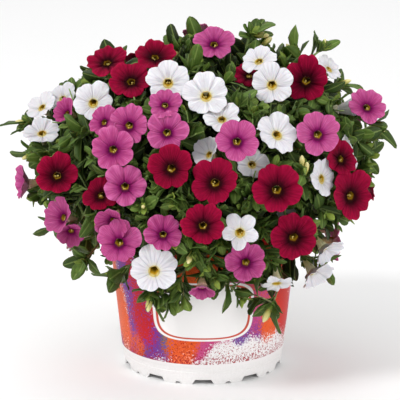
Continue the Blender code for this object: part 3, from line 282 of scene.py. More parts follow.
# Calyx: heights and radii of its cup, its two ends, and its sepals with where they root, up and out
CALYX_HEIGHTS = np.array((-0.4, 0.6, 1.5, 2.5, 2.7, 1.9))
CALYX_RADII = np.array((0.8, 1.4, 2.2, 2.75, 2.45, 1.6))
CALYX_HEEL = 0.7
CALYX_FLOOR = 1.6
SEPALS = 5
SEPAL_LENGTH = 6.5
SEPAL_HALF = 0.95
SEPAL_ROOT = (1.9, 2.2)

# Buds: length, radius, the share of tips that bear one, their swell at shares of the length, their ridges
# and twist, and how near they may come to a petal
BUD_LENGTH = 12.0
BUD_RADIUS = 1.9
BUD_SHARE = 0.6
BUD_SHARES = np.array((0.02, 0.10, 0.25, 0.42, 0.60, 0.76, 0.88, 0.96))
BUD_SWELL = np.array((0.42, 0.55, 0.68, 0.86, 1.0, 0.88, 0.60, 0.30))
BUD_RIDGES = 5.0
BUD_RIDGE_HEIGHT = 0.11
BUD_TWIST = 3.4
BUD_TO_BLOOM = 2.4

# Side shoots that fill the mound, in an inner and an outer band: lowest and highest row, the step between
# rows and between shoots, and how far out of the mound's middle they end
SPRIG_SEED = 5
SPRIG_PIECES = 3
SPRIG_BANDS = (
    (84.0, 225.0, 16.0, 19.0, 0.62, 0.80),
    (72.0, 233.0, 12.5, 14.0, 0.82, 0.99),
)
SPRIG_TRIES = 22
SPRIG_PARTS = 6
SPRIG_RADII = (0.6, 0.45)
SPRIG_TIP = 3.0
SPRIG_TO_BLOOM = 1.3
SPRIG_SHORTEST = 9.0
SPRIG_LEAVES = 10
SPRIG_SPREAD = 0.35
ROSETTE_LEAVES = 6

# A side shoot's leaves: their lean, length, added width and youth at its tip, and what each further one adds
FREE_SPLAY = (0.35, 0.14)
FREE_MOST_SPLAY = 1.25
FREE_LENGTH = (8.0, 2.1)
FREE_WIDER = (1.32, -0.02)
FREE_AGE = (0.95, -0.13)
FREE_SHORTENS = 0.06

# Painted shade: the further in a side shoot ends, the darker its leaves are painted, for the shade inside the
# mound: from which lift, and how fast
SHADE_FROM = 0.95
SHADE_FADES = 2.2

# In front and beside the pot the mound hangs free, so no side shoot ends low there
BARE_BELOW = 112.0
BARE_BESIDE = 46.0
BARE_BEHIND = 30.0

# A free leaf: its turns when it is in the way, its longest, how near it may come to a petal, and how far
# before a bloom it may not stand
FREE_SWINGS = (0.0, 0.6, -0.6, 1.3, -1.3, 2.2)
FREE_LONGEST = 20.0
LEAF_TO_BLOOM = 1.4
LEAF_BEFORE_BLOOM = 42.0

# The pot: how far its edges are rounded, its heel, the groove over it (from, to and depth), the waist's
# rows, and where each notch and the small nick midway between two begin and how steeply they rise, in half
# notches. Then the rows between which the sleeve lies, and the angle that stays a sharp edge
EDGE_ROUND = 0.2
FOOT_ROUND = 0.25
BEAD_ROUND = 0.7
HEEL_HEIGHT = 4.5
GROOVE = (8.6, 8.8, 0.25)
WAIST_HEIGHTS = (45.0, 75.0)
NOTCH_EDGE = (1.12, 0.24)
NICK_EDGE = (0.34, 0.14)
NICK_HEIGHT = 1.3
SLEEVE_ROWS = (9, 12)
POT_CREASE = math.radians(40.0)

# The soil: its clearance from the wall, its rows, and the waves that break up its top
SOIL_CLEARANCE = 0.4
SOIL_ROWS = np.linspace(0.98, 0.03, 34)
SOIL_WAVES = 9
SOIL_WAVE_HEIGHT = 2.2
SOIL_SEED = 3

# How often each pattern repeats in a metre, from its real size. Down, pollen, mould grain and print dots
# are finer in life, and are drawn as coarse as they need to show
LEAF_MOTTLE = 260.0     # blotches of 4 mm
STEM_DOWN = 700.0       # tufts of 1.4 mm
POLLEN_GRAIN = 1500.0   # grains of 0.7 mm
PEAT_CRUMB = 420.0      # crumbs of 2.4 mm
PEAT_FIBRE = 900.0      # fibres of 1.1 mm
MOULD_GRAIN = 900.0     # grain of 1.1 mm
PRINT_DOTS = 820.0      # dots of 1.2 mm
PRINT_SPECKS = 1300.0   # specks of 0.8 mm
PRINT_PATCHES = 17.0    # patches of 60 mm

# What a node does unless its settings say otherwise
SETTINGS = {"Mix": {"data_type": "RGBA"}, "Math": {"operation": "MULTIPLY"},
            "VectorMath": {"operation": "MULTIPLY"}, "Attribute": {"attribute_name": "place"}}

# Fine streaks of a petal: how often they repeat across a lobe, along it, and from bloom to bloom
STREAK_PACE = (13.0, 1.5, 37.0)

# Side veins of a leaf: how far they slant, and how close they stand
LEAF_VEIN_SLANT = 0.55
LEAF_VEIN_PACE = 44.0

# Where the main veins lie between a lobe's middle and its seam, and how strong they are
VEIN_STOPS = (
    (0.0, "#B0B0B0"), (0.06, "#000000"), (0.22, "#000000"), (0.27, "#707070"), (0.32, "#000000"),
    (0.50, "#000000"), (0.55, "#A0A0A0"), (0.60, "#000000"), (0.78, "#000000"), (0.82, "#606060"),
    (0.87, "#000000"), (0.93, "#000000"), (1.0, "#FFFFFF"),
)

# Each petal skin: its name, the ramp along the petal from pit, throat, limb and rim to back, tube
# and foot, its veins' colour and strength, and the colours of its deep patches and its pale streaks
# The first stops of each ramp darken the pit towards its floor: painted shade in the tube's depth
PETAL_SKINS = {
    "white": ("white_petal", (
        (0.0, "#3A2E0A"), (0.04, "#8A6C16"), (0.074, "#C69A1C"), (0.088, "#D8C26A"), (0.105, "#E2DFD0"),
        (0.16, "#E2E0E3"), (0.30, "#E4E2E6"), (0.40, "#E8E6EA"), (0.60, "#E9E6DA"), (0.70, "#F0E9B6"),
        (0.85, "#EBDC88"), (1.0, "#CBC66A")), "#A09AAE", 0.66, "#C8C6D2", "#ECEAEE"),
    "red": ("crimson_petal", (
        (0.0, "#1A1404"), (0.035, "#5A440E"), (0.068, "#A07C18"), (0.080, "#4A220A"), (0.088, "#200006"),
        (0.12, "#34000E"), (0.18, "#5A001C"), (0.26, "#7C0026"), (0.34, "#8B022D"), (0.40, "#A2103A"),
        (0.60, "#8E3A54"), (0.70, "#B08A68"), (0.85, "#C0B066"), (1.0, "#A0A85A")),
        "#2C000A", 0.75, "#5C001A", "#A80C40"),
    "pink": ("pink_petal", (
        (0.0, "#261C08"), (0.035, "#6A5212"), (0.068, "#AA881E"), (0.079, "#6A3828"), (0.088, "#560640"),
        (0.115, "#7C1056"), (0.16, "#9E3072"), (0.25, "#B0407C"), (0.34, "#B84884"), (0.40, "#CA669A"),
        (0.60, "#C890AC"), (0.70, "#D2B498"), (0.85, "#CCBE76"), (1.0, "#A6AC5E")),
        "#74104E", 0.80, "#98306C", "#CE78AA"),
}

# The print, in metres: its lower edge, and the heights between which it thins out. Then each cloud of
# colour: its repeats in a metre, the noise level from which it shows, and a shift of its noise
PRINT_LOW = 0.0148
PRINT_THINS = (0.014, 0.036)
PRINT_CLOUDS = (
    ("#C4307C", 26.0, 0.64, 0.0),
    ("#663496", 27.0, 0.74, 0.4),
    ("#147A40", 29.0, 0.79, 0.9),
    ("#E85C06", 24.0, 0.73, 1.6),
    ("#C61806", 31.0, 0.77, 2.3),
)
CLOUD_LEAN = 0.55
CLOUD_STRETCH = (1.0, 1.0, 0.45)

# The plain panels of the print, in metres: how many round the pot, and their place and size
PANELS = 3
PANEL_SHIFT = 0.5
PANEL_ARC_RADIUS = 0.0615
PANEL_HALF_WIDE = 0.036
PANEL_HALF_HIGH = 0.021
PANEL_HEIGHT = 0.053
PANEL_POWER = 4.0

# Floor and sky, then each light's name, place in metres, size and power, all aimed at one point
FLOOR_HALF = 6.0
SKY_STRENGTH = 0.76
LIGHT_AIM = (0.0, 0.0, 0.12)
LIGHTS = (
    ("key_softbox", (-1.1, -1.0, 1.7), 0.6, 21.0),
    ("fill_softbox", (1.2, -1.2, 0.6), 1.2, 8.0),
    ("ceiling_softbox", (0.0, 2.2, 3.0), 4.0, 30.0),
)
SENSOR_WIDTH = 36.0


def unit(vector):
    """The vector at length one."""
    return vector / np.linalg.norm(vector)


def turns_round(count):
    """Even turns, once round."""
    return np.linspace(0.0, math.tau, count, endpoint=False)


def photo_axes():
    """The photo's eye and its directions right, up and forwards."""
    forwards = np.array((0.0, math.cos(PHOTO_TILT), -math.sin(PHOTO_TILT)))
    up = np.array((0.0, math.sin(PHOTO_TILT), math.cos(PHOTO_TILT)))
    return PHOTO_AIM - PHOTO_DISTANCE * forwards, np.array((1.0, 0.0, 0.0)), up, forwards


def sight(across, down):
    """The eye and the unit direction of the sight line through a pixel."""
    eye, right, up, forwards = photo_axes()
    aside = (across - PHOTO_MIDDLE_PX[0]) / PHOTO_FOCAL_PX
    above = (PHOTO_MIDDLE_PX[1] - down) / PHOTO_FOCAL_PX
    return eye, unit(forwards + aside * right + above * up)


def mound_level(points, lift):
    """Zero on the mound's surface and less inside: a dome over a hem that draws in below the waist."""
    below = np.clip((MOUND_WAIST_Z - points[:, 2]) / HEM_DROP, 0.0, 1.0)
    drawn = below * below * (3.0 - 2.0 * below)
    wide = (MOUND_WIDE + (HEM_WIDE - MOUND_WIDE) * drawn) * lift
    waist = np.where(points[:, 1] > 0.0, MOUND_BACK, MOUND_DEEP)
    deep = (waist + (HEM_DEEP - waist) * drawn) * lift
    rise = np.clip(points[:, 2] - MOUND_WAIST_Z, 0.0, None) / (MOUND_HIGH * lift)
    return ((points[:, 0] - MOUND_CENTRE_X) / wide) ** 2 + (points[:, 1] / deep) ** 2 + rise ** 2 - 1.0


def on_mound(eye, along, lift):
    """The first point of a sight line on the mound, or the nearest to it where the line passes by."""
    reach = PHOTO_DISTANCE + np.arange(-150.0, 60.0, 1.0)
    points = eye + reach[:, None] * along
    level = mound_level(points, lift)
    inside = np.nonzero(level < 0.0)[0]
    return points[inside[0]] if len(inside) else points[np.argmin(level)]


def out_of_mound(azimuth, height, lift):
    """The mound's point at an azimuth and a height, and the direction straight out there."""
    level = np.array((math.cos(azimuth), math.sin(azimuth), 0.0))
    reach = np.arange(5.0, 160.0, 0.5)
    points = reach[:, None] * level + np.array((MOUND_CENTRE_X, 0.0, height))
    inside = mound_level(points, lift) < 0.0
    point = points[np.nonzero(inside)[0][-1]] if inside.any() else points[0]
    steep = max(0.0, (height - MOUND_WAIST_Z) / MOUND_HIGH)
    return point, unit(level * math.sqrt(1.0 - min(0.9, steep) ** 2) + np.array((0.0, 0.0, steep)))


def facing(yaw, pitch):
    """The direction a bloom faces, from its turn to the right and up, seen from the photo's eye."""
    _, right, up, forwards = photo_axes()
    yaw = math.radians(yaw)
    pitch = math.radians(pitch)
    level = math.cos(yaw) * -forwards + math.sin(yaw) * right
    return unit(math.cos(pitch) * level + math.sin(pitch) * up)


def frame_round(axis):
    """Two unit directions square to an axis and to each other."""
    aside = np.cross(axis, (0.0, 0.0, 1.0))
    if np.linalg.norm(aside) < 0.1:
        aside = np.cross(axis, (0.0, 1.0, 0.0))
    aside = unit(aside)
    return aside, np.cross(aside, axis)


class Space:
    """Sample points of all that is placed, each with its owner, to keep owners clear of each other."""

    def __init__(self):
        self.points = np.zeros((0, 3))
        self.owners = np.zeros(0, int)

    def add(self, points, owner):
        """Takes in an owner's points."""
        self.points = np.vstack((self.points, points))
        self.owners = np.append(self.owners, np.full(len(points), owner))

    def near(self, points, margin):
        """Which of all the points lie in the box of these points and its margin."""
        low = points.min(axis=0) - margin
        high = points.max(axis=0) + margin
        return ((self.points > low) & (self.points < high)).all(axis=1)

    def clear(self, points, owner, margin=CLEARANCE, root=None, root_reach=0.0, but=-1):
        """True where no other owner comes nearer than the margin, nor its own pieces away from the root."""
        if not pot_clear(points):
            return False
        near = self.near(points, margin) & (self.owners != but)
        if root is not None:
            off_root = np.linalg.norm(self.points - root, axis=1) > root_reach
            near &= (self.owners != owner) | off_root
        else:
            near &= self.owners != owner
        others = self.points[near]
        if not len(others):
            return True
        apart = np.linalg.norm(points[:, None, :] - others[None, :, :], axis=2)
        return bool(apart.min() > margin)


def pot_clear(points):
    """True where the points keep off the pot's rim, its wall and the soil."""
    out = np.hypot(points[:, 0], points[:, 1])
    high = points[:, 2] > POT_HEIGHT + 2.5
    outside = out > POT_FOOT_RADIUS + POT_FLARE * POT_HEIGHT + RIM_BEAD + 3.0
    inside = (out < POT_FOOT_RADIUS) & (points[:, 2] > SOIL_TOP + SOIL_CROWN + 1.0)
    return bool((high | outside | inside).all())


def limb_height(share, form):
    """Height of the limb over its throat, as a share of the bloom's width, at a share of its radius."""
    rise = {"open": 0.07, "star": 0.03, "cupped": 0.22, "trumpet": 0.50}[form]
    return rise * share ** 1.4


def limb_radius(bloom):
    """The radius of the limb, less where the bloom is not fully open."""
    return bloom["width"] * {"open": 0.5, "star": 0.5, "cupped": 0.47, "trumpet": 0.33}[bloom["form"]]


def bloom_axes(bloom):
    """The bloom's three axes: two across it, turned by its own spin, and its facing."""
    aside, above = frame_round(bloom["face"])
    turn = bloom["spin"]
    first = math.cos(turn) * aside + math.sin(turn) * above
    return first, np.cross(bloom["face"], first), bloom["face"]


def bloom_samples(bloom):
    """Points over a bloom's limb and along its tube."""
    radius = limb_radius(bloom)
    length = TUBE_SHARE * bloom["width"]
    found = []
    for ring in np.linspace(0.12, 1.0, int(radius / SAMPLE_STEP) + 1):
        count = int(math.tau * ring * radius / SAMPLE_STEP) + 3
        turns = turns_round(count)
        height = limb_height(ring, bloom["form"]) * bloom["width"] - 0.5 * LIMB_THICKNESS
        wide = radius * ring
        found.append(np.stack((wide * np.cos(turns), wide * np.sin(turns), 0 * turns + height), 1))
    for down in np.arange(2.0, length + 1.0, SAMPLE_STEP):
        wide = max(TUBE_FOOT_RADIUS, THROAT_SHARE * bloom["width"] * (1.2 - down / length))
        turns = turns_round(6)
        found.append(np.stack((wide * np.cos(turns), wide * np.sin(turns), 0 * turns - down), 1))
    local = np.vstack(found)
    across, above, out = bloom_axes(bloom)
    return bloom["at"] + local[:, :1] * across + local[:, 1:2] * above + local[:, 2:] * out


def make_bloom(node, at, face, width, form, spin, slide):
    """A bloom's record: its node, place, facing, width, form and spin, and the line it may slide along."""
    return {"node": node, "colour": node.split("_")[0], "at": at, "face": face, "width": float(width),
            "form": form, "spin": spin, "slide": slide}


def wanted_blooms(rng):
    """Every bloom where it would stand if nothing were in its way."""
    blooms = []
    for node, across, down, yaw, pitch, width, lift, *form in FRONT_BLOOMS:
        eye, along = sight(across, down)
        at = on_mound(eye, along, lift)
        spin = rng.uniform(0.0, math.tau)
        form = form[0] if form else "open"
        blooms.append(make_bloom(node, at, facing(yaw, pitch), width, form, spin, -along))
    for height, groups in BACK_ROWS:
        for node, count, azimuth in groups:
            middle, _ = out_of_mound(math.radians(azimuth), height, 1.0)
            turn = BACK_SPREAD / max(30.0, float(np.hypot(middle[0], middle[1])))
            for side in ((0.0,), (-turn, turn))[count - 1]:
                at, out = out_of_mound(math.radians(azimuth) + side, height + 12.0 * side, 1.0)
                face = unit(out + rng.uniform(-0.18, 0.18, 3))
                width = rng.uniform(29.0, 34.0)
                blooms.append(make_bloom(node, at, face, width, "open", rng.uniform(0.0, math.tau), out))
    return blooms


def seat_blooms(space, blooms):
    """Slides each bloom to a clear place, and the later ones of a node to where their petals meet."""
    placed = []
    for bloom in blooms:
        samples = bloom_samples(bloom)
        mates = [other for other in placed if other["node"] == bloom["node"]]
        others = [other["samples"] for other in placed if other["node"] != bloom["node"]]
        others = np.vstack(others) if others else np.zeros((0, 3))
        shift = first_seat(bloom, samples, mates, others)
        bloom["at"] = bloom["at"] + shift
        bloom["samples"] = samples + shift
        placed.append(bloom)
    for number, bloom in enumerate(placed):
        bloom["owner"] = 100 + number
        space.add(bloom["samples"], bloom["owner"])


def first_seat(bloom, samples, mates, others):
    """The least move that makes a bloom clear of other nodes, and meet a mate where it has one."""
    points, faces = corolla(bloom)
    towards = np.zeros(3)
    if mates:
        nearest = min(mates, key=lambda mate: np.linalg.norm(mate["at"] - bloom["at"]))
        towards = nearest["at"] - bloom["at"]
        towards = unit(towards - bloom["slide"] * float(towards @ bloom["slide"]))
    trees = [tree_of(*corolla(mate)) for mate in mates]
    aside = np.cross(bloom["slide"], towards)
    pulls = range(MOST_PULL) if mates else (0,)
    drifts = DRIFTS if mates else (0,)
    moves = [(pull, drift, slide) for pull in pulls for drift in drifts for slide in SLIDES]
    moves.sort(key=lambda move: 1.6 * (move[0] + abs(move[1])) + abs(move[2]) + 0.5 * (move[2] < 0))
    for pull, drift, slide in moves:
        shift = slide * bloom["slide"] + pull * towards + drift * aside
        if mates:
            moved = tree_of(points + shift, faces)
            if max(len(moved.overlap(tree)) for tree in trees) < MEETING_FACES:
                continue
        if pot_clear(samples + shift) and apart_from(samples + shift, others):
            return shift
    return np.zeros(3)


def tree_of(points, faces):
    """A search tree of a mesh, to find where two meshes cross."""
    return BVHTree.FromPolygons([tuple(point) for point in points], faces)


def apart_from(points, others):
    """True where two sets of points keep the clearance."""
    low = points.min(axis=0) - CLEARANCE
    high = points.max(axis=0) + CLEARANCE
    others = others[((others > low) & (others < high)).all(axis=1)]
    if not len(others):
        return True
    return bool(np.linalg.norm(points[:, None, :] - others[None, :, :], axis=2).min() > CLEARANCE)


def curve(start, first, second, end, parts):
    """Corners of a cubic from start to end, drawn towards the two points between."""
    share = np.linspace(0.0, 1.0, parts + 1)[:, None]
    rest = 1.0 - share
    ends = rest ** 3 * start + share ** 3 * end
    return ends + 3 * rest ** 2 * share * first + 3 * rest * share ** 2 * second


def dotted(corners):
    """Points at an even step along the straight runs between corners."""
    points = [corners[:1]]
    for here, after in zip(corners, corners[1:]):
        steps = max(1, int(np.linalg.norm(after - here) / SAMPLE_STEP))
        points.append(here + np.linspace(0.0, 1.0, steps + 1)[1:, None] * (after - here))
    return np.vstack(points)


def stem_targets(blooms, colour):
    """Where the main stems of a colour lead: the middles of its groups of blooms, drawn into the mound."""
    places = np.array([bloom["at"] for bloom in blooms if bloom["colour"] == colour])
    order = np.argsort(np.arctan2(places[:, 1], places[:, 0]))
    targets = [places[part].mean(axis=0) for part in np.array_split(order, STEMS_PER_COLOUR)]
    return [target * (0.62, 0.62, 1.0) + (0.0, 0.0, -8.0) for target in targets]


def grow_plants(space, blooms):
    """Three young plants, one of each colour, each with a main stem that soon forks in three."""
    plants = []
    for number, colour in enumerate(COLOURS):
        around = math.radians(PLANT_AZIMUTHS[number])
        base = np.array((PLANT_RING * math.cos(around), PLANT_RING * math.sin(around), SOIL_TOP))
        foot = base + (0.0, 0.0, 2.0)
        stems = []
        for fork, wanted in enumerate(stem_targets(blooms, colour)):
            start = foot + (0.0, 0.0, FORK_STEP * fork)
            for shift in STEM_SHIFTS:
                target = wanted + shift
                knee = start + (0.0, 0.0, 16.0) + 0.08 * (target - start)
                corners = curve(start, knee, target - 0.35 * (target - knee), target, STEM_PARTS)
                if fork:
                    up_stem = min(0.9, FORK_STEP * fork / FORK_RUN)
                    corners[0] = stems[0][0] + (stems[0][1] - stems[0][0]) * up_stem
                path = dotted(corners)
                if space.clear(path[path[:, 2] > SOIL_TOP + 2 * SOIL_CROWN], number, STEM_CLEARANCE):
                    break
            stems.append(corners)
        paths = [dotted(corners) for corners in stems]
        for step in STEM_SKIN * np.vstack((np.eye(3), -np.eye(3))):
            space.add(np.vstack(paths) + step, number)
        plants.append({"owner": number, "name": "leafy_stems_" + colour, "colour": colour, "base": base,
                       "stems": stems, "shoots": [], "ends": paths})
    return plants


def shoot_choices(stems, end, arrive, rng):
    """Paths from the stems to a point, the short and smooth ones first. A low end is reached over the rim."""
    low = end[2] < POT_HEIGHT + 8.0
    reaches = ((0.0, 36.0), (0.1, 46.0), (0.2, 30.0)) if low else ((0.0, 22.0), (0.16, 14.0), (0.3, 28.0))
    found = []
    for stem in stems:
        for path in stem["ends"]:
            for at in range(3, len(path) - 1, 3):
                start = path[at]
                grow = unit(path[at + 1] - path[at - 1])
                span = np.linalg.norm(end - start)
                if span < 8.0:
                    continue
                away = (end - start) / span
                cost = span * (1.6 - 0.3 * float(grow @ away) - 0.3 * float(away @ arrive))
                found.append((cost, stem, start, grow, span))
    found.sort(key=lambda item: item[0])
    for cost, stem, start, grow, span in found[:140]:
        for swing, reach in reaches:
            side = unit(rng.normal(size=3)) * swing * span
            first = start + 0.28 * span * unit(grow + 0.8 * (end - start) / span) + side
            second = end - (reach if low else min(0.45 * span, reach)) * arrive + 0.6 * side
            corners = curve(start, first, second, end, int(np.clip(span / SHOOT_PART_LENGTH, 2, 5)))
            yield stem, corners, dotted(corners), start


def first_clear(space, stems, end, arrivals, rng, extra=None, but=-1):
    """The first path to a point that is clear with its extra points, but for its own bloom, or None."""
    for arrive in arrivals:
        for stem, corners, path, start in shoot_choices(stems, end, arrive, rng):
            if space.clear(path, stem["owner"], SHOOT_CLEARANCE, start, 7.0, but):
                if extra is None or space.clear(extra, stem["owner"], CUP_CLEARANCE, start, 7.0, but):
                    return stem, corners, path
    return None


def bloom_foot(bloom):
    """The point under the bloom's green cup, where its stalk ends."""
    return bloom["at"] - (TUBE_SHARE * bloom["width"] + CUP_HEIGHT) * bloom["face"]


def grow_stalks(space, stems, blooms, rng):
    """A stalk from the nearest stem of its colour to each bloom, nearest blooms first."""
    def distance(bloom):
        return min(np.linalg.norm(path - bloom_foot(bloom), axis=1).min()
                   for s in stems if s["colour"] == bloom["colour"] for path in s["ends"])
    for bloom in sorted(blooms, key=distance):
        own = [stem for stem in stems if stem["colour"] == bloom["colour"]]
        foot = bloom_foot(bloom)
        aside, above = frame_round(bloom["face"])
        arrivals = [unit(bloom["face"] + wide * aside + high * above) for wide, high in STALK_LEANS]
        if foot[2] < POT_HEIGHT + 8.0:
            down = np.array((0.0, 0.0, -1.0)) - 0.15 * bloom["face"]
            arrivals = [unit(down + lean * aside) for lean in HANGING_LEANS] + arrivals
        cup = cup_samples(foot, bloom["face"])
        found = first_clear(space, own, foot, arrivals, rng, cup, bloom["owner"])
        if found is None:
            continue
        stem, corners, path = found
        space.add(path, stem["owner"])
        space.add(cup, stem["owner"])
        stem["shoots"].append({"corners": corners, "path": path, "leaves": [], "cup": bloom["face"]})
        stem["ends"].append(path)


def cup_samples(foot, face):
    """Points round the rim of a bloom's cup."""
    aside, above = frame_round(face)
    turns = turns_round(6)[:, None]
    return foot + 0.8 * CUP_RIM * face + CUP_RADIUS * (np.cos(turns) * aside + np.sin(turns) * above)


def side_tips(rng):
    """The tips that fill the sides and the hem at the back: place, growth direction, leaves."""
    tips = []
    for height, first, last, count in SIDE_TIPS:
        for index in range(count):
            azimuth = math.radians(first + (last - first) * (index + rng.uniform(0.3, 0.7)) / count)
            at, out = out_of_mound(azimuth, height, 0.98)
            tips.append((at, unit(out + (0.0, 0.0, rng.uniform(-0.5, 0.2))), SIDE_TIP_LEAVES))
    return tips


def tips_wanted(rng):
    """The leafy tips that the photo shows, and those of the back: place, growth direction, leaves."""
    tips = []
    _, right, up, forwards = photo_axes()
    for across, down, turn, lift, leaves in FRONT_TIPS:
        eye, along = sight(across, down)
        at = on_mound(eye, along, lift)
        lean = math.cos(math.radians(turn)) * right + math.sin(math.radians(turn)) * up
        tips.append((at, unit(lean - 0.55 * forwards), leaves))
    for height, count in BACK_TIPS:
        for index in range(count):
            azimuth = math.radians(180.0 * (index + rng.uniform(0.3, 0.7)) / count)
            at, out = out_of_mound(azimuth, height, 1.0)
            tips.append((at, unit(out + (0.0, 0.0, rng.uniform(-0.3, 0.3))), BACK_TIP_LEAVES))
    return tips


def leaf_samples(leaf):
    """Points over a leaf blade, away from its root."""
    along = np.linspace(0.18, 1.0, int(leaf["length"] / SAMPLE_STEP) + 1)
    across = np.linspace(-1.0, 1.0, 5)
    share, side = (grid.ravel() for grid in np.meshgrid(along, across))
    half = leaf["half"] * np.interp(share, (0.0, 0.35, 0.68, 1.0), (0.1, 0.9, 1.0, 0.0))
    return leaf_points(leaf, share, side * half, 0.0)


def leaf_points(leaf, share, aside, above):
    """Points of the blade at a share of its length, a distance aside and a height over it.

    The midrib bends down along a quarter wave, and the two halves rise from it in a shallow V.
    """
    out, wide, over = leaf["axes"]
    sag = leaf["bend"] * leaf["length"] * share ** 2
    lift = above + leaf["fold"] * np.abs(aside) - sag
    return (leaf["root"] + np.multiply.outer(leaf["length"] * share, out)
            + np.multiply.outer(aside, wide) + np.multiply.outer(lift, over))


def make_leaf(root, out, up, length, rng):
    """A leaf's record: its root, its axes and its shape."""
    out = unit(out)
    wide = np.cross(out, up)
    wide = unit(wide) if np.linalg.norm(wide) > 0.1 else frame_round(out)[0]
    half = length * rng.uniform(0.18, 0.215)
    bend = rng.uniform(0.08, 0.26)
    fold = rng.uniform(0.15, 0.35)
    return {"root": root, "axes": (out, wide, np.cross(wide, out)), "length": length,
            "half": half, "bend": bend, "fold": fold}


def try_leaf(space, stem, shoot, at, length, splay, first_turn, rng):
    """Places a leaf on a shoot, in the first of some turns that is clear."""
    path = shoot["path"]
    root = path[at]
    grow = unit(path[at] - path[at - 1])
    aside, above = frame_round(grow)
    for trial, swing in enumerate(LEAF_SWINGS):
        turn = first_turn + swing
        lean = splay * (1.0 if trial < 5 else 0.8)
        side = math.cos(turn) * aside + math.sin(turn) * above
        out = math.cos(lean) * grow + math.sin(lean) * side
        leaf = make_leaf(root, out, grow, length * (1.0, 0.85)[trial % 2], rng)
        points = leaf_samples(leaf)
        if space.clear(points, stem["owner"], CLEARANCE, root, 4.5):
            space.add(points, stem["owner"])
            shoot["leaves"].append((at, leaf))
            return


def grow_tips(space, stems, tips, rng):
    """Leafy shoots that end between and over the blooms, with a rosette of leaves at each tip."""
    for at, grow, leaves in tips:
        found = None
        for shift in TIP_SHIFTS:
            found = found or first_clear(space, stems, at - 6.0 * grow + shift, [grow], rng)
        if found is None:
            continue
        stem, corners, path = found
        space.add(path, stem["owner"])
        shoot = {"corners": corners, "path": path, "leaves": [], "cup": None}
        stem["shoots"].append(shoot)
        stem["ends"].append(path)
        turn = rng.uniform(0.0, math.tau)
        for index in range(leaves):
            at = len(path) - 2 - int(LEAF_ROOT_PITCH / SAMPLE_STEP * TIP_STEPS[index])
            if at > 3:
                length = rng.uniform(17.0, 24.0)
                try_leaf(space, stem, shoot, at, length, TIP_SPLAYS[index], turn + 2.4 * index, rng)


def grow_leaves(space, stems, rng):
    """Leaves along the stalks of the blooms, in turn to one side and the other, in their outer halves."""
    for stem in stems:
        for shoot in stem["shoots"]:
            if shoot["cup"] is None:
                continue
            turn = rng.uniform(0.0, math.tau)
            count = len(shoot["path"])
            if count > 16:
                at = int(rng.uniform(0.55, 0.8) * (count - 2)) + 1
                try_leaf(space, stem, shoot, at, rng.uniform(16.0, 24.0), 0.9, turn, rng)


def plan_plant():
    """The whole plant: blooms and stems with all that grows on them, clear of each other."""
    rng = np.random.default_rng(SEED)
    space = Space()
    blooms = wanted_blooms(rng)
    seat_blooms(space, blooms)
    stems = grow_plants(space, blooms)
    grow_stalks(space, stems, blooms, rng)
    grow_tips(space, stems, tips_wanted(rng), rng)
    grow_leaves(space, stems, rng)
    grow_tips(space, stems, side_tips(rng), rng)
    return blooms, stems


def corolla(bloom):
    """A bloom as one closed shell: pit, limb of five lobes, its edge, its back, and the tube behind.

    Each lobe is a fan from a point of the throat's ring to a notch, two shoulders and the next notch.
    """
    width = bloom["width"]
    radius = limb_radius(bloom)
    notch = {"open": 0.84, "star": 0.62, "cupped": 0.86, "trumpet": 0.90}[bloom["form"]]
    shoulder = {"open": 1.0, "star": 0.98, "cupped": 1.0, "trumpet": 1.0}[bloom["form"]]
    spread = {"open": 22.0, "star": 29.0, "cupped": 22.0, "trumpet": 20.0}[bloom["form"]]
    throat = THROAT_SHARE * width
    tube = TUBE_SHARE * width
    down = LIMB_THICKNESS
    rim = []
    for lobe in range(5):
        for angle, share in ((0.0, notch), (spread, shoulder), (72.0 - spread, shoulder)):
            turn = math.radians(72.0 * lobe + angle)
            rim.append((radius * share * math.cos(turn), radius * share * math.sin(turn),
                        limb_height(share, bloom["form"]) * width))
    ring = [(math.cos(math.radians(72.0 * lobe + 36.0)), math.sin(math.radians(72.0 * lobe + 36.0)))
            for lobe in range(5)]
    points = [(0.0, 0.0, -0.45 * tube)]
    points += [(throat * x, throat * y, 0.0) for x, y in ring]
    points += rim
    points += [(x, y, z - down) for x, y, z in rim]
    points += [((throat + 0.9) * x, (throat + 0.9) * y, -0.12 * tube - down) for x, y in ring]
    points += [(TUBE_FOOT_RADIUS * x, TUBE_FOOT_RADIUS * y, -tube) for x, y in ring]
    top, front, back, collar, foot = 1, 6, 21, 36, 41
    faces = []
    for lobe in range(5):
        after = (lobe + 1) % 5
        faces.append((0, top + lobe, top + after))
        faces += limb_fan(top, front, lobe, after)
        faces += [face[::-1] for face in limb_fan(collar, back, lobe, after)]
        faces += [(collar + lobe, foot + lobe, foot + after), (collar + lobe, foot + after, collar + after)]
    for index in range(15):
        after = (index + 1) % 15
        faces += [(front + index, back + index, back + after), (front + index, back + after, front + after)]
    faces += [(foot, foot + 2, foot + 1), (foot, foot + 3, foot + 2), (foot, foot + 4, foot + 3)]
    local = np.array(points)
    across, above, out = bloom_axes(bloom)
    return bloom["at"] + local[:, :1] * across + local[:, 1:2] * above + local[:, 2:] * out, faces


def limb_fan(ring, rim, lobe, after):
    """The four triangles of one lobe, from its ring point out to the rim."""
    notch, first, second, last = (rim + (3 * lobe + step) % 15 for step in range(4))
    middle = ring + lobe
    return [(middle, notch, first), (middle, first, second), (middle, second, last),
            (middle, last, ring + after)]


def linear(code):
    """A colour of the shader from its sRGB hex code."""
    shares = [int(code[at:at + 2], 16) / 255.0 for at in (1, 3, 5)]
    return tuple(s / 12.92 if s <= 0.04045 else ((s + 0.055) / 1.055) ** 2.4 for s in shares) + (1.0,)


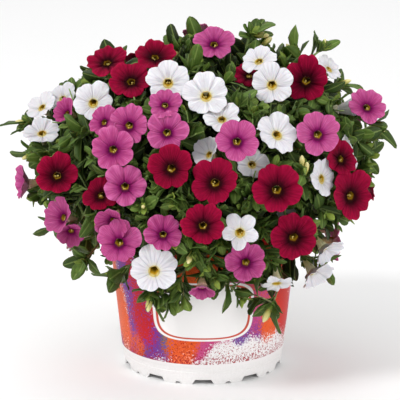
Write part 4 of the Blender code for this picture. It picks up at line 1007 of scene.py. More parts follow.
def wire(tree, node, inputs):
    """Sets a node's inputs, in order or by key, to values, colour codes, outputs, or nodes' first in use."""
    keyed = inputs if isinstance(inputs, dict) else dict(enumerate(inputs))
    for key, value in keyed.items():
        if isinstance(value, str):
            value = linear(value)
        if isinstance(value, bpy.types.Node):
            value = next(output for output in value.outputs if output.enabled)
        if isinstance(value, bpy.types.NodeSocket):
            tree.links.new(value, node.inputs[key])
        else:
            node.inputs[key].default_value = value


def put(tree, kind, inputs=(), stops=(), **settings):
    """Adds a shader node with its settings or its kind's usual ones, its inputs and its colour stops."""
    node = tree.nodes.new("ShaderNode" + kind)
    for name, value in (settings or SETTINGS.get(kind, {})).items():
        setattr(node, name, value)
    wire(tree, node, inputs)
    for index, (at, code) in enumerate(stops):
        elements = node.color_ramp.elements
        element = elements[index] if index < 2 else elements.new(at)
        element.position = at
        element.color = linear(code)
    return node


def fresh_material(name, roughness, **settings):
    """A Principled material with its tree and its shader, ready for its colour and bump."""
    material = bpy.data.materials.new(name)
    material.use_nodes = True
    shader = material.node_tree.nodes["Principled BSDF"]
    shader.inputs["Roughness"].default_value = roughness
    for key, value in settings.items():
        shader.inputs[key.replace("_", " ")].default_value = value
    return material, material.node_tree, shader


def petal_material(name, stops, vein, vein_share, deep, pale):
    """Petal skin: thin velvety cells over darker veins that fan out from a golden throat, with painted shade
    deep in its pit.

    The colour follows the petal's place from the pit to the tube's foot. Main veins stand at set shares
    from a lobe's middle to its seam, and noise drawn out along the lobe makes finer ones. They start past
    the throat and fade towards the rim. The low side of the same noise makes paler streaks on the outer
    limb, each bloom is paler there by a share of its own, and broad noise deepens the limb in patches.
    """
    material, tree, shader = fresh_material(name + "_skin", 0.66, Specular_IOR_Level=0.06,
                                            Subsurface_Weight=0.10, Subsurface_Scale=0.0015)
    place = put(tree, "Attribute").outputs["Vector"]
    along, aside, seed = put(tree, "SeparateXYZ", (place,)).outputs
    reach = put(tree, "Math", (along, PLACE_FULL), operation="DIVIDE")
    # The ramp's first stops darken the pit towards its floor as painted shade
    base = put(tree, "ValToRGB", (reach,), stops)
    fan = put(tree, "CombineXYZ", (aside, along, seed))
    drawn_out = put(tree, "VectorMath", (fan, STREAK_PACE))
    streaks = put(tree, "TexNoise", {"Vector": drawn_out, "Scale": 1.0, "Detail": 3.0, "Roughness": 0.65})
    fine = put(tree, "MapRange", (streaks, 0.50, 0.64, 0.0, 0.80))
    main = put(tree, "ValToRGB", (aside,), VEIN_STOPS)
    both = put(tree, "Math", (main, fine), operation="MAXIMUM")
    outward = put(tree, "MapRange", (along, 0.30, 0.95, vein_share, 0.22 * vein_share))
    on_limb = put(tree, "MapRange", (along, 0.20, 0.27, 0.0, 1.0))
    shown = put(tree, "Math", (both, outward))
    lines = put(tree, "Math", (shown, on_limb))
    veined = put(tree, "Mix", {0: lines, 6: base, 7: vein})
    light = put(tree, "MapRange", (streaks, 0.34, 0.48, 0.50, 0.0))
    outer = put(tree, "MapRange", (along, 0.30, 0.62, 0.0, 1.0))
    light_here = put(tree, "Math", (light, outer))
    streaked = put(tree, "Mix", {0: light_here, 6: veined, 7: pale})
    own = put(tree, "MapRange", (seed, 0.0, 1.0, 0.0, 0.25))
    own_here = put(tree, "Math", (own, outer))
    toned = put(tree, "Mix", {0: own_here, 6: streaked, 7: pale})
    patches = put(tree, "TexNoise", {"Vector": fan, "Scale": 2.6, "Detail": 1.0})
    shade = put(tree, "MapRange", (patches, 0.38, 0.75, 0.0, 0.30))
    shade_here = put(tree, "Math", (shade, on_limb))
    finished = put(tree, "Mix", {0: shade_here, 6: toned, 7: deep})
    relief = put(tree, "Math", (both, -1.0))
    bump = put(tree, "Bump", {"Height": relief, "Strength": 0.65, "Distance": 0.0006})
    wire(tree, shader, {"Base Color": finished, "Normal": bump})
    return material


def leaf_material():
    """Leaf skin: matt green blade with a paler rib, fine side veins and edge, yellower on young leaves and
    darker on old ones, with painted shade on leaves deep in the mound.
    """
    material, tree, shader = fresh_material("leaf_skin", 0.52, Specular_IOR_Level=0.22,
                                            Subsurface_Weight=0.06, Subsurface_Scale=0.001)
    place = put(tree, "Attribute").outputs["Vector"]
    along, aside, young = put(tree, "SeparateXYZ", (place,)).outputs
    # The ramp runs from dark old leaves to yellow young ones, and its dark end also paints the shade on
    # leaves deep in the mound
    age_and_shade = put(tree, "ValToRGB", (young,), ((0.0, "#16220A"), (0.22, "#2D4216"), (0.42, "#435B22"),
                                             (0.75, "#5C7730"), (1.0, "#8FA342")))
    spots = put(tree, "TexCoord").outputs["Object"]
    mottle = put(tree, "TexNoise", {"Vector": spots, "Scale": LEAF_MOTTLE, "Detail": 3.0})
    dark = put(tree, "MapRange", (mottle, 0.4, 0.75, 0.0, 0.35))
    mottled = put(tree, "Mix", {0: dark, 6: age_and_shade, 7: "#1A280A"})
    slant = put(tree, "Math", (aside, LEAF_VEIN_SLANT, along), operation="MULTIPLY_ADD")
    wave = put(tree, "Math", (slant, LEAF_VEIN_PACE))
    sine = put(tree, "Math", (wave,), operation="SINE")
    side = put(tree, "MapRange", (sine, 0.72, 1.0, 0.0, 0.22))
    veined = put(tree, "Mix", {0: side, 6: mottled, 7: "#68823A"})
    rib = put(tree, "MapRange", (aside, 0.02, 0.16, 0.60, 0.0))
    ribbed = put(tree, "Mix", {0: rib, 6: veined, 7: "#90A458"})
    edge = put(tree, "MapRange", (aside, 0.84, 1.0, 0.0, 0.30))
    edged = put(tree, "Mix", {0: edge, 6: ribbed, 7: "#86994E"})
    bump = put(tree, "Bump", {"Height": sine, "Strength": 0.18, "Distance": 0.0005})
    wire(tree, shader, {"Base Color": edged, "Normal": bump})
    return material


def stem_material():
    """Stem skin: pale green with soft down, browner near the soil."""
    material, tree, shader = fresh_material("stem_skin", 0.62, Sheen_Weight=0.25, Sheen_Roughness=0.4)
    spots = put(tree, "TexCoord").outputs["Object"]
    high = put(tree, "SeparateXYZ", (spots,)).outputs[2]
    rise = put(tree, "MapRange", (high, 0.095, 0.150, 0.0, 1.0))
    base = put(tree, "ValToRGB", (rise,), ((0.0, "#6E6A3A"), (0.4, "#6F8440"), (1.0, "#7E9A4C")))
    tufts = put(tree, "TexNoise", {"Vector": spots, "Scale": STEM_DOWN, "Detail": 2.0})
    down = put(tree, "MapRange", (tufts, 0.45, 0.7, 0.0, 0.4))
    downy = put(tree, "Mix", {0: down, 6: base, 7: "#A9BC7A"})
    bump = put(tree, "Bump", {"Height": tufts, "Strength": 0.4, "Distance": 0.0004})
    wire(tree, shader, {"Base Color": downy, "Normal": bump})
    return material


def bud_material():
    """Furled petals: waxy cream yellow, greener towards the calyx, with painted shade in the furrows."""
    material, tree, shader = fresh_material("furled_petal", 0.55, Subsurface_Weight=0.10,
                                            Subsurface_Scale=0.002)
    place = put(tree, "Attribute").outputs["Vector"]
    along, ridge, _ = put(tree, "SeparateXYZ", (place,)).outputs
    base = put(tree, "ValToRGB", (along,), ((0.0, "#9DAE4E"), (0.35, "#CFC868"), (0.75, "#E8DE92"),
                                              (1.0, "#F0E9B4")))
    # Painted shade: the colour darkens towards olive in the furrows between the ridges
    furrow_shade = put(tree, "MapRange", (ridge, 0.0, 1.0, 0.35, 0.0))
    furled = put(tree, "Mix", {0: furrow_shade, 6: base, 7: "#B09C3A"})
    wire(tree, shader, {"Base Color": furled})
    return material


def anther_material():
    """Pollen: small powdery sacs, cream to yellow."""
    material, tree, shader = fresh_material("pollen", 0.85)
    spots = put(tree, "TexCoord").outputs["Object"]
    grain = put(tree, "TexNoise", {"Vector": spots, "Scale": POLLEN_GRAIN, "Detail": 2.0})
    base = put(tree, "ValToRGB", (grain,), ((0.3, "#C0A440"), (0.7, "#DCCB7C")))
    wire(tree, shader, {"Base Color": base})
    return material


def soil_material():
    """Moist peat: dark matt crumbs with paler fibres."""
    material, tree, shader = fresh_material("moist_peat", 0.92)
    spots = put(tree, "TexCoord").outputs["Object"]
    crumbs = put(tree, "TexVoronoi", {"Vector": spots, "Scale": PEAT_CRUMB})
    base = put(tree, "ValToRGB", (crumbs,), ((0.0, "#4A3524"), (0.5, "#2E2018"), (1.0, "#17100B")))
    fibre = put(tree, "TexNoise", {"Vector": spots, "Scale": PEAT_FIBRE, "Detail": 4.0})
    pale = put(tree, "MapRange", (fibre, 0.62, 0.72, 0.0, 0.6))
    fibrous = put(tree, "Mix", {0: pale, 6: base, 7: "#8A6B48"})
    bump = put(tree, "Bump", {"Height": crumbs, "Strength": 0.9, "Distance": 0.001})
    wire(tree, shader, {"Base Color": fibrous, "Normal": bump})
    return material


def foot_material():
    """Moulded polypropylene: white, slightly warm, satin with a fine mould grain."""
    material, tree, shader = fresh_material("white_polypropylene", 0.42)
    spots = put(tree, "TexCoord").outputs["Object"]
    grain = put(tree, "TexNoise", {"Vector": spots, "Scale": MOULD_GRAIN, "Detail": 2.0})
    base = put(tree, "ValToRGB", (grain,), ((0.3, "#E9E7E6"), (0.7, "#EFEDEC")))
    bump = put(tree, "Bump", {"Height": grain, "Strength": 0.08, "Distance": 0.0003})
    wire(tree, shader, {"Base Color": base, "Normal": bump})
    return material


def printed_clouds(tree, spots, high, paper):
    """The print's colour: soft clouds in fine dots, thinner low down, and bare paper under its lower edge.

    Each cloud is broad slanting noise, broken into dots by fine noise. Dark specks lie over the clouds,
    and deep red flecks gather low down.
    """
    thins, full = PRINT_THINS
    bare_low = put(tree, "MapRange", (high, thins, full, 0.30, 0.0))
    patches = put(tree, "TexNoise", {"Vector": spots, "Scale": PRINT_PATCHES, "Detail": 0.0})
    bare_here = put(tree, "MapRange", (patches, 0.44, 0.56, 0.12, 1.0))
    sparse = put(tree, "Math", (bare_low, bare_here))
    leaning = put(tree, "Mapping", {"Vector": spots, "Rotation": (0.0, CLOUD_LEAN, 0.0),
                                    "Scale": CLOUD_STRETCH})
    dots = put(tree, "TexNoise", {"Vector": spots, "Scale": PRINT_DOTS, "Detail": 2.0, "Roughness": 0.8})
    colour = paper
    for number, (code, spread, low, drift) in enumerate(PRINT_CLOUDS):
        far = put(tree, "VectorMath", (leaning, (0.31 * number, 0.17 * number, drift)),
                  operation="ADD")
        cloud = put(tree, "TexNoise", {"Vector": far, "Scale": spread, "Detail": 2.0, "Roughness": 0.5})
        level = put(tree, "Math", (cloud, sparse), operation="SUBTRACT")
        dotted_level = put(tree, "Math", (dots, 0.50, level), operation="MULTIPLY_ADD")
        share = put(tree, "MapRange", (dotted_level, low, low + 0.06, 0.0, 0.95))
        colour = put(tree, "Mix", {0: share, 6: colour, 7: code})
    low_down = put(tree, "MapRange", (high, thins, full, 0.63, 0.44))
    fleck_level = put(tree, "Math", (dots, low_down), operation="ADD")
    specks = put(tree, "TexNoise", {"Vector": spots, "Scale": PRINT_SPECKS, "Detail": 1.0})
    speck = put(tree, "MapRange", (specks, 0.63, 0.67, 0.0, 0.55))
    specked = put(tree, "Mix", {0: speck, 6: colour, 7: "#8A2A2A"})
    fleck = put(tree, "MapRange", (fleck_level, 1.12, 1.15, 0.0, 0.95))
    flecked = put(tree, "Mix", {0: fleck, 6: specked, 7: "#A0182A"})
    below = put(tree, "MapRange", (high, PRINT_LOW - 0.0001, PRINT_LOW + 0.0001, 1.0, 0.0))
    return put(tree, "Mix", {0: below, 6: flecked, 7: paper})


def panel_level(tree, turn, high):
    """How far out of its panel a point lies: one on the outline of a rounded oblong of the fourth power."""
    turns = put(tree, "Math", (turn, PANELS / math.tau))
    shifted = put(tree, "Math", (turns, PANEL_SHIFT), operation="ADD")
    within = put(tree, "Math", (shifted,), operation="FRACT")
    middle = put(tree, "Math", (within, 0.5), operation="SUBTRACT")
    wide = put(tree, "Math", (middle, math.tau / PANELS * PANEL_ARC_RADIUS))
    across = put(tree, "Math", (wide, 1.0 / PANEL_HALF_WIDE))
    over = put(tree, "Math", (high, -PANEL_HEIGHT), operation="ADD")
    upward = put(tree, "Math", (over, 1.0 / PANEL_HALF_HIGH))
    across_power = put(tree, "Math", (across, PANEL_POWER), operation="POWER")
    up_power = put(tree, "Math", (upward, PANEL_POWER), operation="POWER")
    return put(tree, "Math", (across_power, up_power), operation="ADD")


def label_material():
    """Printed film: satin sleeve with soft clouds of colour, and plain white panels with a thin line.

    The turn round the pot's own axis and the height are the panels' two directions.
    """
    material, tree, shader = fresh_material("printed_sleeve", 0.46, Specular_IOR_Level=0.16)
    from_origin = put(tree, "TexCoord").outputs["Object"]
    spots = put(tree, "VectorMath", (from_origin, [value * MM for value in RECENTRE]),
                operation="SUBTRACT")
    x, y, z = put(tree, "SeparateXYZ", (spots,)).outputs
    back = put(tree, "Math", (y, -1.0))
    turn = put(tree, "Math", (x, back), operation="ARCTAN2")
    printed = printed_clouds(tree, spots, z, "#EFECEC")
    level = panel_level(tree, turn, z)
    panel = put(tree, "MapRange", (level, 0.97, 1.03, 1.0, 0.0))
    line = put(tree, "ValToRGB", (level,), ((0.0, "#000000"), (0.60, "#000000"), (0.63, "#FFFFFF"),
                                              (0.76, "#FFFFFF"), (0.79, "#000000")))
    panelled = put(tree, "Mix", {0: panel, 6: printed, 7: "#F7F5F4"})
    lined = put(tree, "Mix", {0: line, 6: panelled, 7: "#C8503C"})
    wire(tree, shader, {"Base Color": lined})
    return material


def linked(name, data):
    """An object of the data, in the scene."""
    thing = bpy.data.objects.new(name, data)
    bpy.context.scene.collection.objects.link(thing)
    return thing


class Pile:
    """Grids gathered for one mesh: their points, their place on the piece, their faces and materials."""

    def __init__(self):
        self.points = []
        self.places = []
        self.faces = []
        self.slots = []
        self.count = 0

    def add(self, points, places, faces, slot=0):
        """Adds a grid's points with their places, and its faces in one material."""
        self.points.append(points)
        self.places.append(np.broadcast_to(places, points.shape))
        self.add_faces([part + self.count for part in faces], slot)
        self.count += len(points)

    def add_faces(self, faces, slot):
        """Adds faces over points that the pile already holds."""
        for part in faces:
            self.faces.append(part)
            self.slots.append(np.full(len(part), slot))


def grid_faces(rows, columns):
    """Quads of a grid joined round. They face out where its columns turn anticlockwise as its rows go on."""
    row = np.arange(rows - 1)[:, None] * columns
    column = np.arange(columns)[None, :]
    after = (column + 1) % columns
    corners = (row + column, row + after, row + columns + after, row + columns + column)
    return np.stack(corners, -1).reshape(-1, 4)


def capped(rows, columns):
    """The faces of a closed grid whose first and last points are poles: quads, then the two fans."""
    column = np.arange(columns)
    after = (column + 1) % columns
    first = np.stack((np.zeros_like(column), 1 + after, 1 + column), -1)
    last_row = 1 + (rows - 1) * columns
    last = np.stack((last_row + column, last_row + after, np.full_like(column, last_row + columns)), -1)
    return grid_faces(rows, columns) + 1, first, last


def make_piece(name, pile, materials, slot, replaced=()):
    """A piece of the plant from its gathered grids, with its materials and the solids it stands for."""
    points = (np.vstack(pile.points) + RECENTRE) * MM
    corners = np.concatenate([part.ravel() for part in pile.faces])
    sizes = np.concatenate([np.full(len(part), part.shape[1]) for part in pile.faces])
    mesh = bpy.data.meshes.new(name)
    mesh.vertices.add(len(points))
    mesh.vertices.foreach_set("co", points.ravel())
    mesh.loops.add(len(corners))
    mesh.loops.foreach_set("vertex_index", corners)
    mesh.polygons.add(len(sizes))
    mesh.polygons.foreach_set("loop_start", np.concatenate(((0,), np.cumsum(sizes)[:-1])))
    mesh.polygons.foreach_set("material_index", np.concatenate(pile.slots))
    mesh.update(calc_edges=True)
    mesh.validate()
    place = mesh.attributes.new("place", "FLOAT_VECTOR", "POINT")
    place.data.foreach_set("vector", np.vstack(pile.places).ravel())
    mesh.shade_smooth()
    for material in materials:
        mesh.materials.append(material)
    piece = linked(name, mesh)
    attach(piece, "root")
    if replaced:
        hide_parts(*replaced)
    return piece


def rings(path, radii, columns):
    """Rings round a path: each is its radius times a turn of the two directions square to the path."""
    ahead = np.gradient(path, axis=0)
    ahead /= np.linalg.norm(ahead, axis=1)[:, None]
    upright = abs(ahead[:, 2]).mean() >= 0.8
    lean = np.array((0.9, 0.35, 0.2) if upright else (0.31, 0.42, 0.85))
    across = np.cross(ahead, lean)
    across /= np.linalg.norm(across, axis=1)[:, None]
    above = np.cross(ahead, across)
    turns = turns_round(columns)[None, :, None]
    spokes = np.cos(turns) * across[:, None, :] + np.sin(turns) * above[:, None, :]
    return path[:, None, :] + np.broadcast_to(radii, len(path))[:, None, None] * spokes


def add_tube(pile, path, radii, columns, age_and_shade, slot):
    """A closed round stem along a path: a ring at each point, and a pole at each end."""
    ring = rings(path, radii, columns).reshape(-1, 3)
    points = np.vstack((path[:1], ring, path[-1:]))
    pile.add(points, (0.5, 0.5, age_and_shade), capped(len(path), columns), slot)


def eased(path):
    """A path with its corners rounded, by the mean of each point and those beside it, taken a few times."""
    soft = np.array(path)
    for _ in range(EASINGS):
        soft[1:-1] = 0.25 * soft[:-2] + 0.5 * soft[1:-1] + 0.25 * soft[2:]
    return soft


def thinned(path):
    """Every second point of a path, with its end."""
    kept = path[:-1:2] if len(path) > 6 else path[:-1]
    return np.vstack((kept, path[-1:]))


def lobe_turns():
    """The turn of each column and its distance from the lobe's middle, 0 to 1. Columns crowd at the seams."""
    share = np.arange(LOBE_COLUMNS) / LOBE_COLUMNS
    share = share - COLUMN_CROWDING * np.sin(math.tau * share)
    turn = (np.arange(LOBES)[:, None] + share[None, :]).ravel() / LOBES
    aside = np.abs(np.tile(share, LOBES) - 0.5) * 2.0
    return math.tau * turn, aside


def waved(start, waves, turn, rng):
    """A value with sines of the turn on top, each of its own height and count, and of a chance phase."""
    phases = rng.uniform(0.0, math.tau, len(waves))
    for (height, count), phase in zip(waves, phases):
        start = start + height * np.sin(count * turn + phase)
    return start


def own_shape(bloom, turn, aside, rib, rng):
    """What differs from bloom to bloom: the radius of its edge, the depth of its seams and its ripple.

    Each lobe's radius is full but for a dip at its seams, which falls off by an exponential, and a slight
    nick at its middle. A few sines of the turn, each with its own phase, wave the edge and the ripple.
    """
    form = bloom["form"]
    from_seam = LOBE_HALF * (1.0 - aside)
    lobe = np.repeat(rng.uniform(*LOBE_LENGTHS, LOBES), LOBE_COLUMNS)
    dip = (1.0 - NOTCH[form]) * np.exp(-(from_seam / SINUS_WIDTH[form]) ** 1.3)
    nick = np.repeat(rng.uniform(*NICK_DEPTHS, LOBES), LOBE_COLUMNS) * rib
    evened = lobe + (1.0 - lobe) * np.exp(-(from_seam / SEAM_WIDTH) ** 2)
    edge = limb_radius(bloom) * (1.0 - dip - nick) * evened
    seam_depth = rng.uniform(*SEAM_DEPTHS)
    lean = np.repeat(rng.uniform(*LOBE_LEANS, LOBES), LOBE_COLUMNS) * (1.0 - aside ** 2)
    ripple = waved(lean, FACE_WAVES, turn, rng)
    edge = edge * waved(1.0, EDGE_WAVES, turn, rng)
    return edge, seam_depth, ripple


def add_bloom(pile, bloom, rng):
    """A bloom as one closed skin: tube outside, back of the limb, rim, front, throat and pit.

    Out along the petal, the front rises as the limb height formula says. It sags in the seams and along
    each lobe's middle, crowns between them, and rolls down at the rim, all as powers or sines of the share
    out, with the bloom's own ripple on top. The back lies a petal's thickness under the front. The throat
    sags to one side, by a share that fades from the pit to the edge.
    """
    width = bloom["width"]
    radius = limb_radius(bloom)
    throat = THROAT_NARROWED * THROAT_SHARE * width
    tube = TUBE_SHARE * width
    turn, aside = lobe_turns()
    from_seam = LOBE_HALF * (1.0 - aside)
    seam = np.exp(-(from_seam / CREASE_WIDTH) ** 2)
    rib = np.exp(-((LOBE_HALF - from_seam) / CREASE_WIDTH) ** 2)
    edge, seam_depth, ripple = own_shape(bloom, turn, aside, rib, rng)
    first, second, face = bloom_axes(bloom)
    sag_way = np.array((-first[2], -second[2])) * THROAT_SAG * width

    def limb(share, depth):
        """The limb's rows at shares of the way from throat to rim: radius, height and place."""
        share = share[:, None]
        out = throat + (edge - throat) * share
        high = limb_height(share, bloom["form"]) * width - depth[:, None]
        high = high + width * ripple * share ** 2.0
        high = high - seam_depth * width * seam * np.sin(math.pi * share ** 0.8)
        high = high + LIMB_CROWN * width * (1.0 - aside ** 2) * np.sin(math.pi * share)
        high = high - RIB_DEPTH * width * rib * share
        high = high - RIM_ROLL * width * share ** 6 * (0.3 + 0.7 * aside ** 2)
        high = high - THROAT_DIP * width * (1.0 - share) ** 3
        return out, high, np.broadcast_to(out / radius, out.shape)

    back = limb(BACK_SHARES, BACK_DEPTHS)
    front = limb(FRONT_SHARES, FRONT_DEPTHS)
    tube_out = np.array(TUBE_RADII + (throat + TUBE_MOUTH,))
    tube_rows = tube_out[:, None] * (1.0 + 0.05 * np.cos(LOBES * turn))
    pit_rows = (throat * PIT_SHARES)[:, None] * (1.0 + 0.07 * np.cos(LOBES * turn))
    full = np.ones_like(turn)
    out = np.vstack((tube_rows, back[0], front[0], pit_rows))
    high = np.vstack(((-tube * TUBE_SHARES)[:, None] * full, back[1], front[1],
                      (-width * PIT_DEPTHS)[:, None] * full))
    tube_along = PLACE_FULL - PLACE_TUBE * np.linspace(0.0, 1.0, len(tube_out))
    pit_along = PLACE_THROAT * PIT_PLACES
    along = np.vstack((tube_along[:, None] * full, PLACE_BACK - back[2], front[2], pit_along[:, None] * full))
    inward = np.clip((1.0 - out / edge) / (1.0 - throat / radius), 0.0, 1.0)
    inward[: len(tube_out)] = np.linspace(0.0, 1.0, len(tube_out))[:, None]
    inward[-len(PIT_SHARES):] = np.linspace(0.8, PIT_LEAN, len(PIT_SHARES))[:, None]
    across = out * np.cos(turn) + inward * sag_way[0]
    above = out * np.sin(turn) + inward * sag_way[1]
    local = across[..., None] * first + above[..., None] * second
    skin = bloom["at"] + (local + high[..., None] * face).reshape(-1, 3)
    middle = PIT_LEAN * (sag_way[0] * first + sag_way[1] * second)
    ends = np.array((-tube - 0.1, -PIT_FLOOR * width))[:, None]
    poles = bloom["at"] + ends * face + np.outer((0.0, 1.0), middle)
    seed = rng.uniform(0.0, 1.0)
    places = np.stack(np.broadcast_arrays(along, aside, seed), -1).reshape(-1, 3)
    points = np.vstack((poles[:1], skin, poles[1:]))
    places = np.vstack(((PLACE_FULL, 0.5, seed), places, (0.0, 0.5, seed)))
    pile.add(points, places, capped(len(out), len(turn)))


def add_beads(pile, centres, ways, seeds):
    """Small closed grains, each an ellipse turned round its long way."""
    wides = np.sqrt(1.0 - ANTHER_HEIGHTS ** 2) * ANTHER_RADIUS
    turns = turns_round(BEAD_COLUMNS)
    for centre, way, seed in zip(centres, ways, seeds):
        aside, above = frame_round(way)
        spokes = np.cos(turns)[:, None] * above + np.sin(turns)[:, None] * aside
        spokes = -spokes if float(np.cross(spokes[0], spokes[1]) @ way) < 0.0 else spokes
        ring = centre + 0.5 * ANTHER_LENGTH * ANTHER_HEIGHTS[:, None, None] * way
        ring = (ring + wides[:, None, None] * spokes).reshape(-1, 3)
        points = np.vstack((centre - 0.5 * ANTHER_LENGTH * way, ring, centre + 0.5 * ANTHER_LENGTH * way))
        pile.add(points, (0.5, 0.5, seed), capped(len(ANTHER_HEIGHTS), BEAD_COLUMNS))


def add_stamens(pile, bloom, rng):
    """The anthers that show in a bloom's throat, huddled to one side of it."""
    first, second, face = bloom_axes(bloom)
    throat = THROAT_NARROWED * THROAT_SHARE * bloom["width"]
    turns = rng.uniform(0.0, math.tau) + np.linspace(-0.9, 0.9, ANTHERS) + rng.uniform(-0.3, 0.3, ANTHERS)
    out = throat * rng.uniform(0.15, 0.5, ANTHERS)
    deep = -bloom["width"] * rng.uniform(0.05, 0.09, ANTHERS)
    spokes = np.cos(turns)[:, None] * first + np.sin(turns)[:, None] * second
    middle = -THROAT_SAG * bloom["width"] * (first[2] * first + second[2] * second)
    centres = bloom["at"] + middle + out[:, None] * spokes + deep[:, None] * face
    ways = [unit(face + 0.5 * spoke) for spoke in spokes]
    add_beads(pile, centres, ways, rng.uniform(0.0, 1.0, ANTHERS))


def add_leaves(pile, leaves, rng):
    """Many leaves at once. Each is a closed ring of six carried from its root to its tip.

    The width follows a spoon shape, the halves rise in a shallow V and bulge between rib and edge, the
    edge ripples by a sine along the leaf, and the midrib bends down by the square of the share along.
    """
    roots = np.array([leaf["root"] for leaf in leaves])
    axes = np.array([leaf["axes"] for leaf in leaves])
    sizes = np.array([[leaf[key] for key in ("length", "half", "bend", "fold", "age_and_shade")] for leaf in leaves])
    count = len(leaves)
    share = LEAF_SHARES[None, :, None]
    spoon = LEAF_SPOON[None, :, None]
    length, half, bend, fold, age_and_shade = (sizes[:, index][:, None, None] for index in range(5))
    wave = rng.uniform(0.0, math.tau, count)[:, None, None]
    aside = half * spoon * LEAF_ASIDE[None, None, :]
    ripple = LEAF_RIPPLE * length * LEAF_ASIDE ** 2 * np.sin(9.0 * share + 1.7 * LEAF_ASIDE + wave)
    over = fold * np.abs(aside) + LEAF_BULGE * half * spoon + LEAF_UNDER + ripple
    over = over - bend * length * share ** 2
    out = np.broadcast_to(length * share, aside.shape)
    places = np.stack(np.broadcast_arrays(share, np.abs(LEAF_ASIDE)[None, None, :], age_and_shade), -1)
    way, wide, above = (axes[:, index][:, None, None, :] for index in range(3))
    ring = roots[:, None, None, :] + out[..., None] * way + aside[..., None] * wide + over[..., None] * above
    heels = roots - HEEL_DEPTH * axes[:, 0]
    tips = roots + sizes[:, :1] * axes[:, 0] - (sizes[:, 2] * sizes[:, 0])[:, None] * axes[:, 2]
    points = np.concatenate((heels[:, None], ring.reshape(count, -1, 3), tips[:, None]), axis=1)
    old = sizes[:, 4][:, None]
    heel_place = np.stack((0.0 * old, 0.0 * old, old), -1)
    tip_place = np.stack((0.0 * old + 1.0, 0.0 * old, old), -1)
    places = np.concatenate((heel_place, places.reshape(count, -1, 3), tip_place), axis=1)
    shifts = (np.arange(count) * points.shape[1])[:, None, None]
    faces = [(part[None] + shifts).reshape(-1, part.shape[1])
             for part in capped(len(LEAF_SHARES), len(LEAF_ASIDE))]
    pile.add(points.reshape(-1, 3), places.reshape(-1, 3), faces)


def spokes_round(way, columns):
    """Unit directions all round a way, anticlockwise as it is looked at from its tip."""
    aside, _ = frame_round(way)
    turns = turns_round(columns)[:, None]
    return np.cos(turns) * aside + np.sin(turns) * np.cross(way, aside)


def add_calyx(pile, foot, face, rng):
    """The green cup under a bloom or a bud, a profile turned about its facing. Gives its sepals."""
    spokes = spokes_round(face, CALYX_COLUMNS)
    ring = foot + CALYX_HEIGHTS[:, None, None] * face + CALYX_RADII[:, None, None] * spokes
    points = np.vstack((foot - CALYX_HEEL * face, ring.reshape(-1, 3), foot + CALYX_FLOOR * face))
    pile.add(points, (0.5, 0.5, 0.6), capped(len(CALYX_HEIGHTS), CALYX_COLUMNS))
    start = rng.uniform(0.0, math.tau)
    aside, _ = frame_round(face)
    above = np.cross(face, aside)
    sepals = []
    for number in range(SEPALS):
        turn = start + math.tau * number / SEPALS
        spoke = math.cos(turn) * aside + math.sin(turn) * above
        way = unit(face + rng.uniform(0.28, 0.5) * spoke)
        wide_way = unit(np.cross(way, spoke))
        root = foot + SEPAL_ROOT[0] * face + SEPAL_ROOT[1] * spoke
        sepals.append({"root": root, "length": SEPAL_LENGTH * rng.uniform(0.85, 1.15),
                       "axes": (way, wide_way, np.cross(wide_way, way)), "half": SEPAL_HALF,
                       "bend": -0.12, "fold": 0.2, "age_and_shade": rng.uniform(0.45, 0.75)})
    return sepals


def add_bud(pile, root, way, length, rng):
    """A furled bud: an egg drawn out along its way, with winding ridges that are a cosine of the turn."""
    share = BUD_SHARES[:, None]
    wide = BUD_RADIUS * BUD_SWELL * length / BUD_LENGTH
    turns = turns_round(BUD_COLUMNS)
    ridge = np.cos(BUD_RIDGES * turns[None, :] + BUD_TWIST * share)
    out = wide[:, None] * (1.0 + BUD_RIDGE_HEIGHT * ridge)
    skin = root + length * share[..., None] * way + out[..., None] * spokes_round(way, BUD_COLUMNS)
    points = np.vstack((root, skin.reshape(-1, 3), root + length * way))
    places = np.stack(np.broadcast_arrays(share, 0.5 + 0.5 * ridge, rng.uniform()), -1).reshape(-1, 3)
    places = np.vstack(((0.0, 1.0, 0.5), places, (1.0, 1.0, 0.5)))
    pile.add(points, places, capped(len(BUD_SHARES), BUD_COLUMNS))


class Bouquet:
    """The blooms' places, to keep added leaves off the petals and out of the way of their faces."""

    def __init__(self, blooms):
        self.at = np.array([bloom["at"] for bloom in blooms])
        self.face = np.array([bloom["face"] for bloom in blooms])
        self.radius = np.array([limb_radius(bloom) for bloom in blooms])
        samples = np.vstack([bloom["samples"] for bloom in blooms])
        self.tree = KDTree(len(samples))
        for index, point in enumerate(samples):
            self.tree.insert(point, index)
        self.tree.balance()
        eye = photo_axes()[0]
        self.to_eye = (eye - self.at) / np.linalg.norm(eye - self.at, axis=1)[:, None]
        self.seen = (self.to_eye * self.face).sum(axis=1) > 0.2

    def nearest(self, points):
        """The least distance from the points to a petal."""
        return min(self.tree.find(point)[2] for point in points)

    def leaves_free(self, points, margin=LEAF_TO_BLOOM):
        """True where the points touch no petal and hide no bloom's face, seen straight on or in the photo."""
        offset = points[:, None, :] - self.at[None]
        for way, share, low in ((self.face, 0.95, -1.0), (self.to_eye, 0.80, 2.0)):
            ahead = (offset * way[None]).sum(axis=2)
            aside = np.linalg.norm(offset - ahead[..., None] * way[None], axis=2)
            hides = (ahead > low) & (ahead < LEAF_BEFORE_BLOOM) & (aside < share * self.radius)
            if way is self.to_eye:
                hides = hides & self.seen
            if hides.any():
                return False
        return self.nearest(points) > margin


def sprig_targets(rng):
    """Places all over the mound where a side shoot may end, in rows that stand at even heights."""
    targets = []
    for lowest, highest, row, step, least_lift, most_lift in SPRIG_BANDS:
        for height in np.arange(lowest, highest, row):
            girth = np.linalg.norm(out_of_mound(0.0, height, 1.0)[0][:2])
            count = max(3, int(math.tau * girth / step))
            for index in range(count):
                azimuth = math.tau * (index + rng.uniform(0.0, 1.0)) / count
                lift = rng.uniform(least_lift, most_lift)
                at, out = out_of_mound(azimuth, height + rng.uniform(-0.5, 0.5) * row, lift)
                if at[2] > BARE_BELOW or abs(at[0]) < BARE_BESIDE or at[1] > BARE_BEHIND:
                    targets.append((at, out, lift))
    return targets


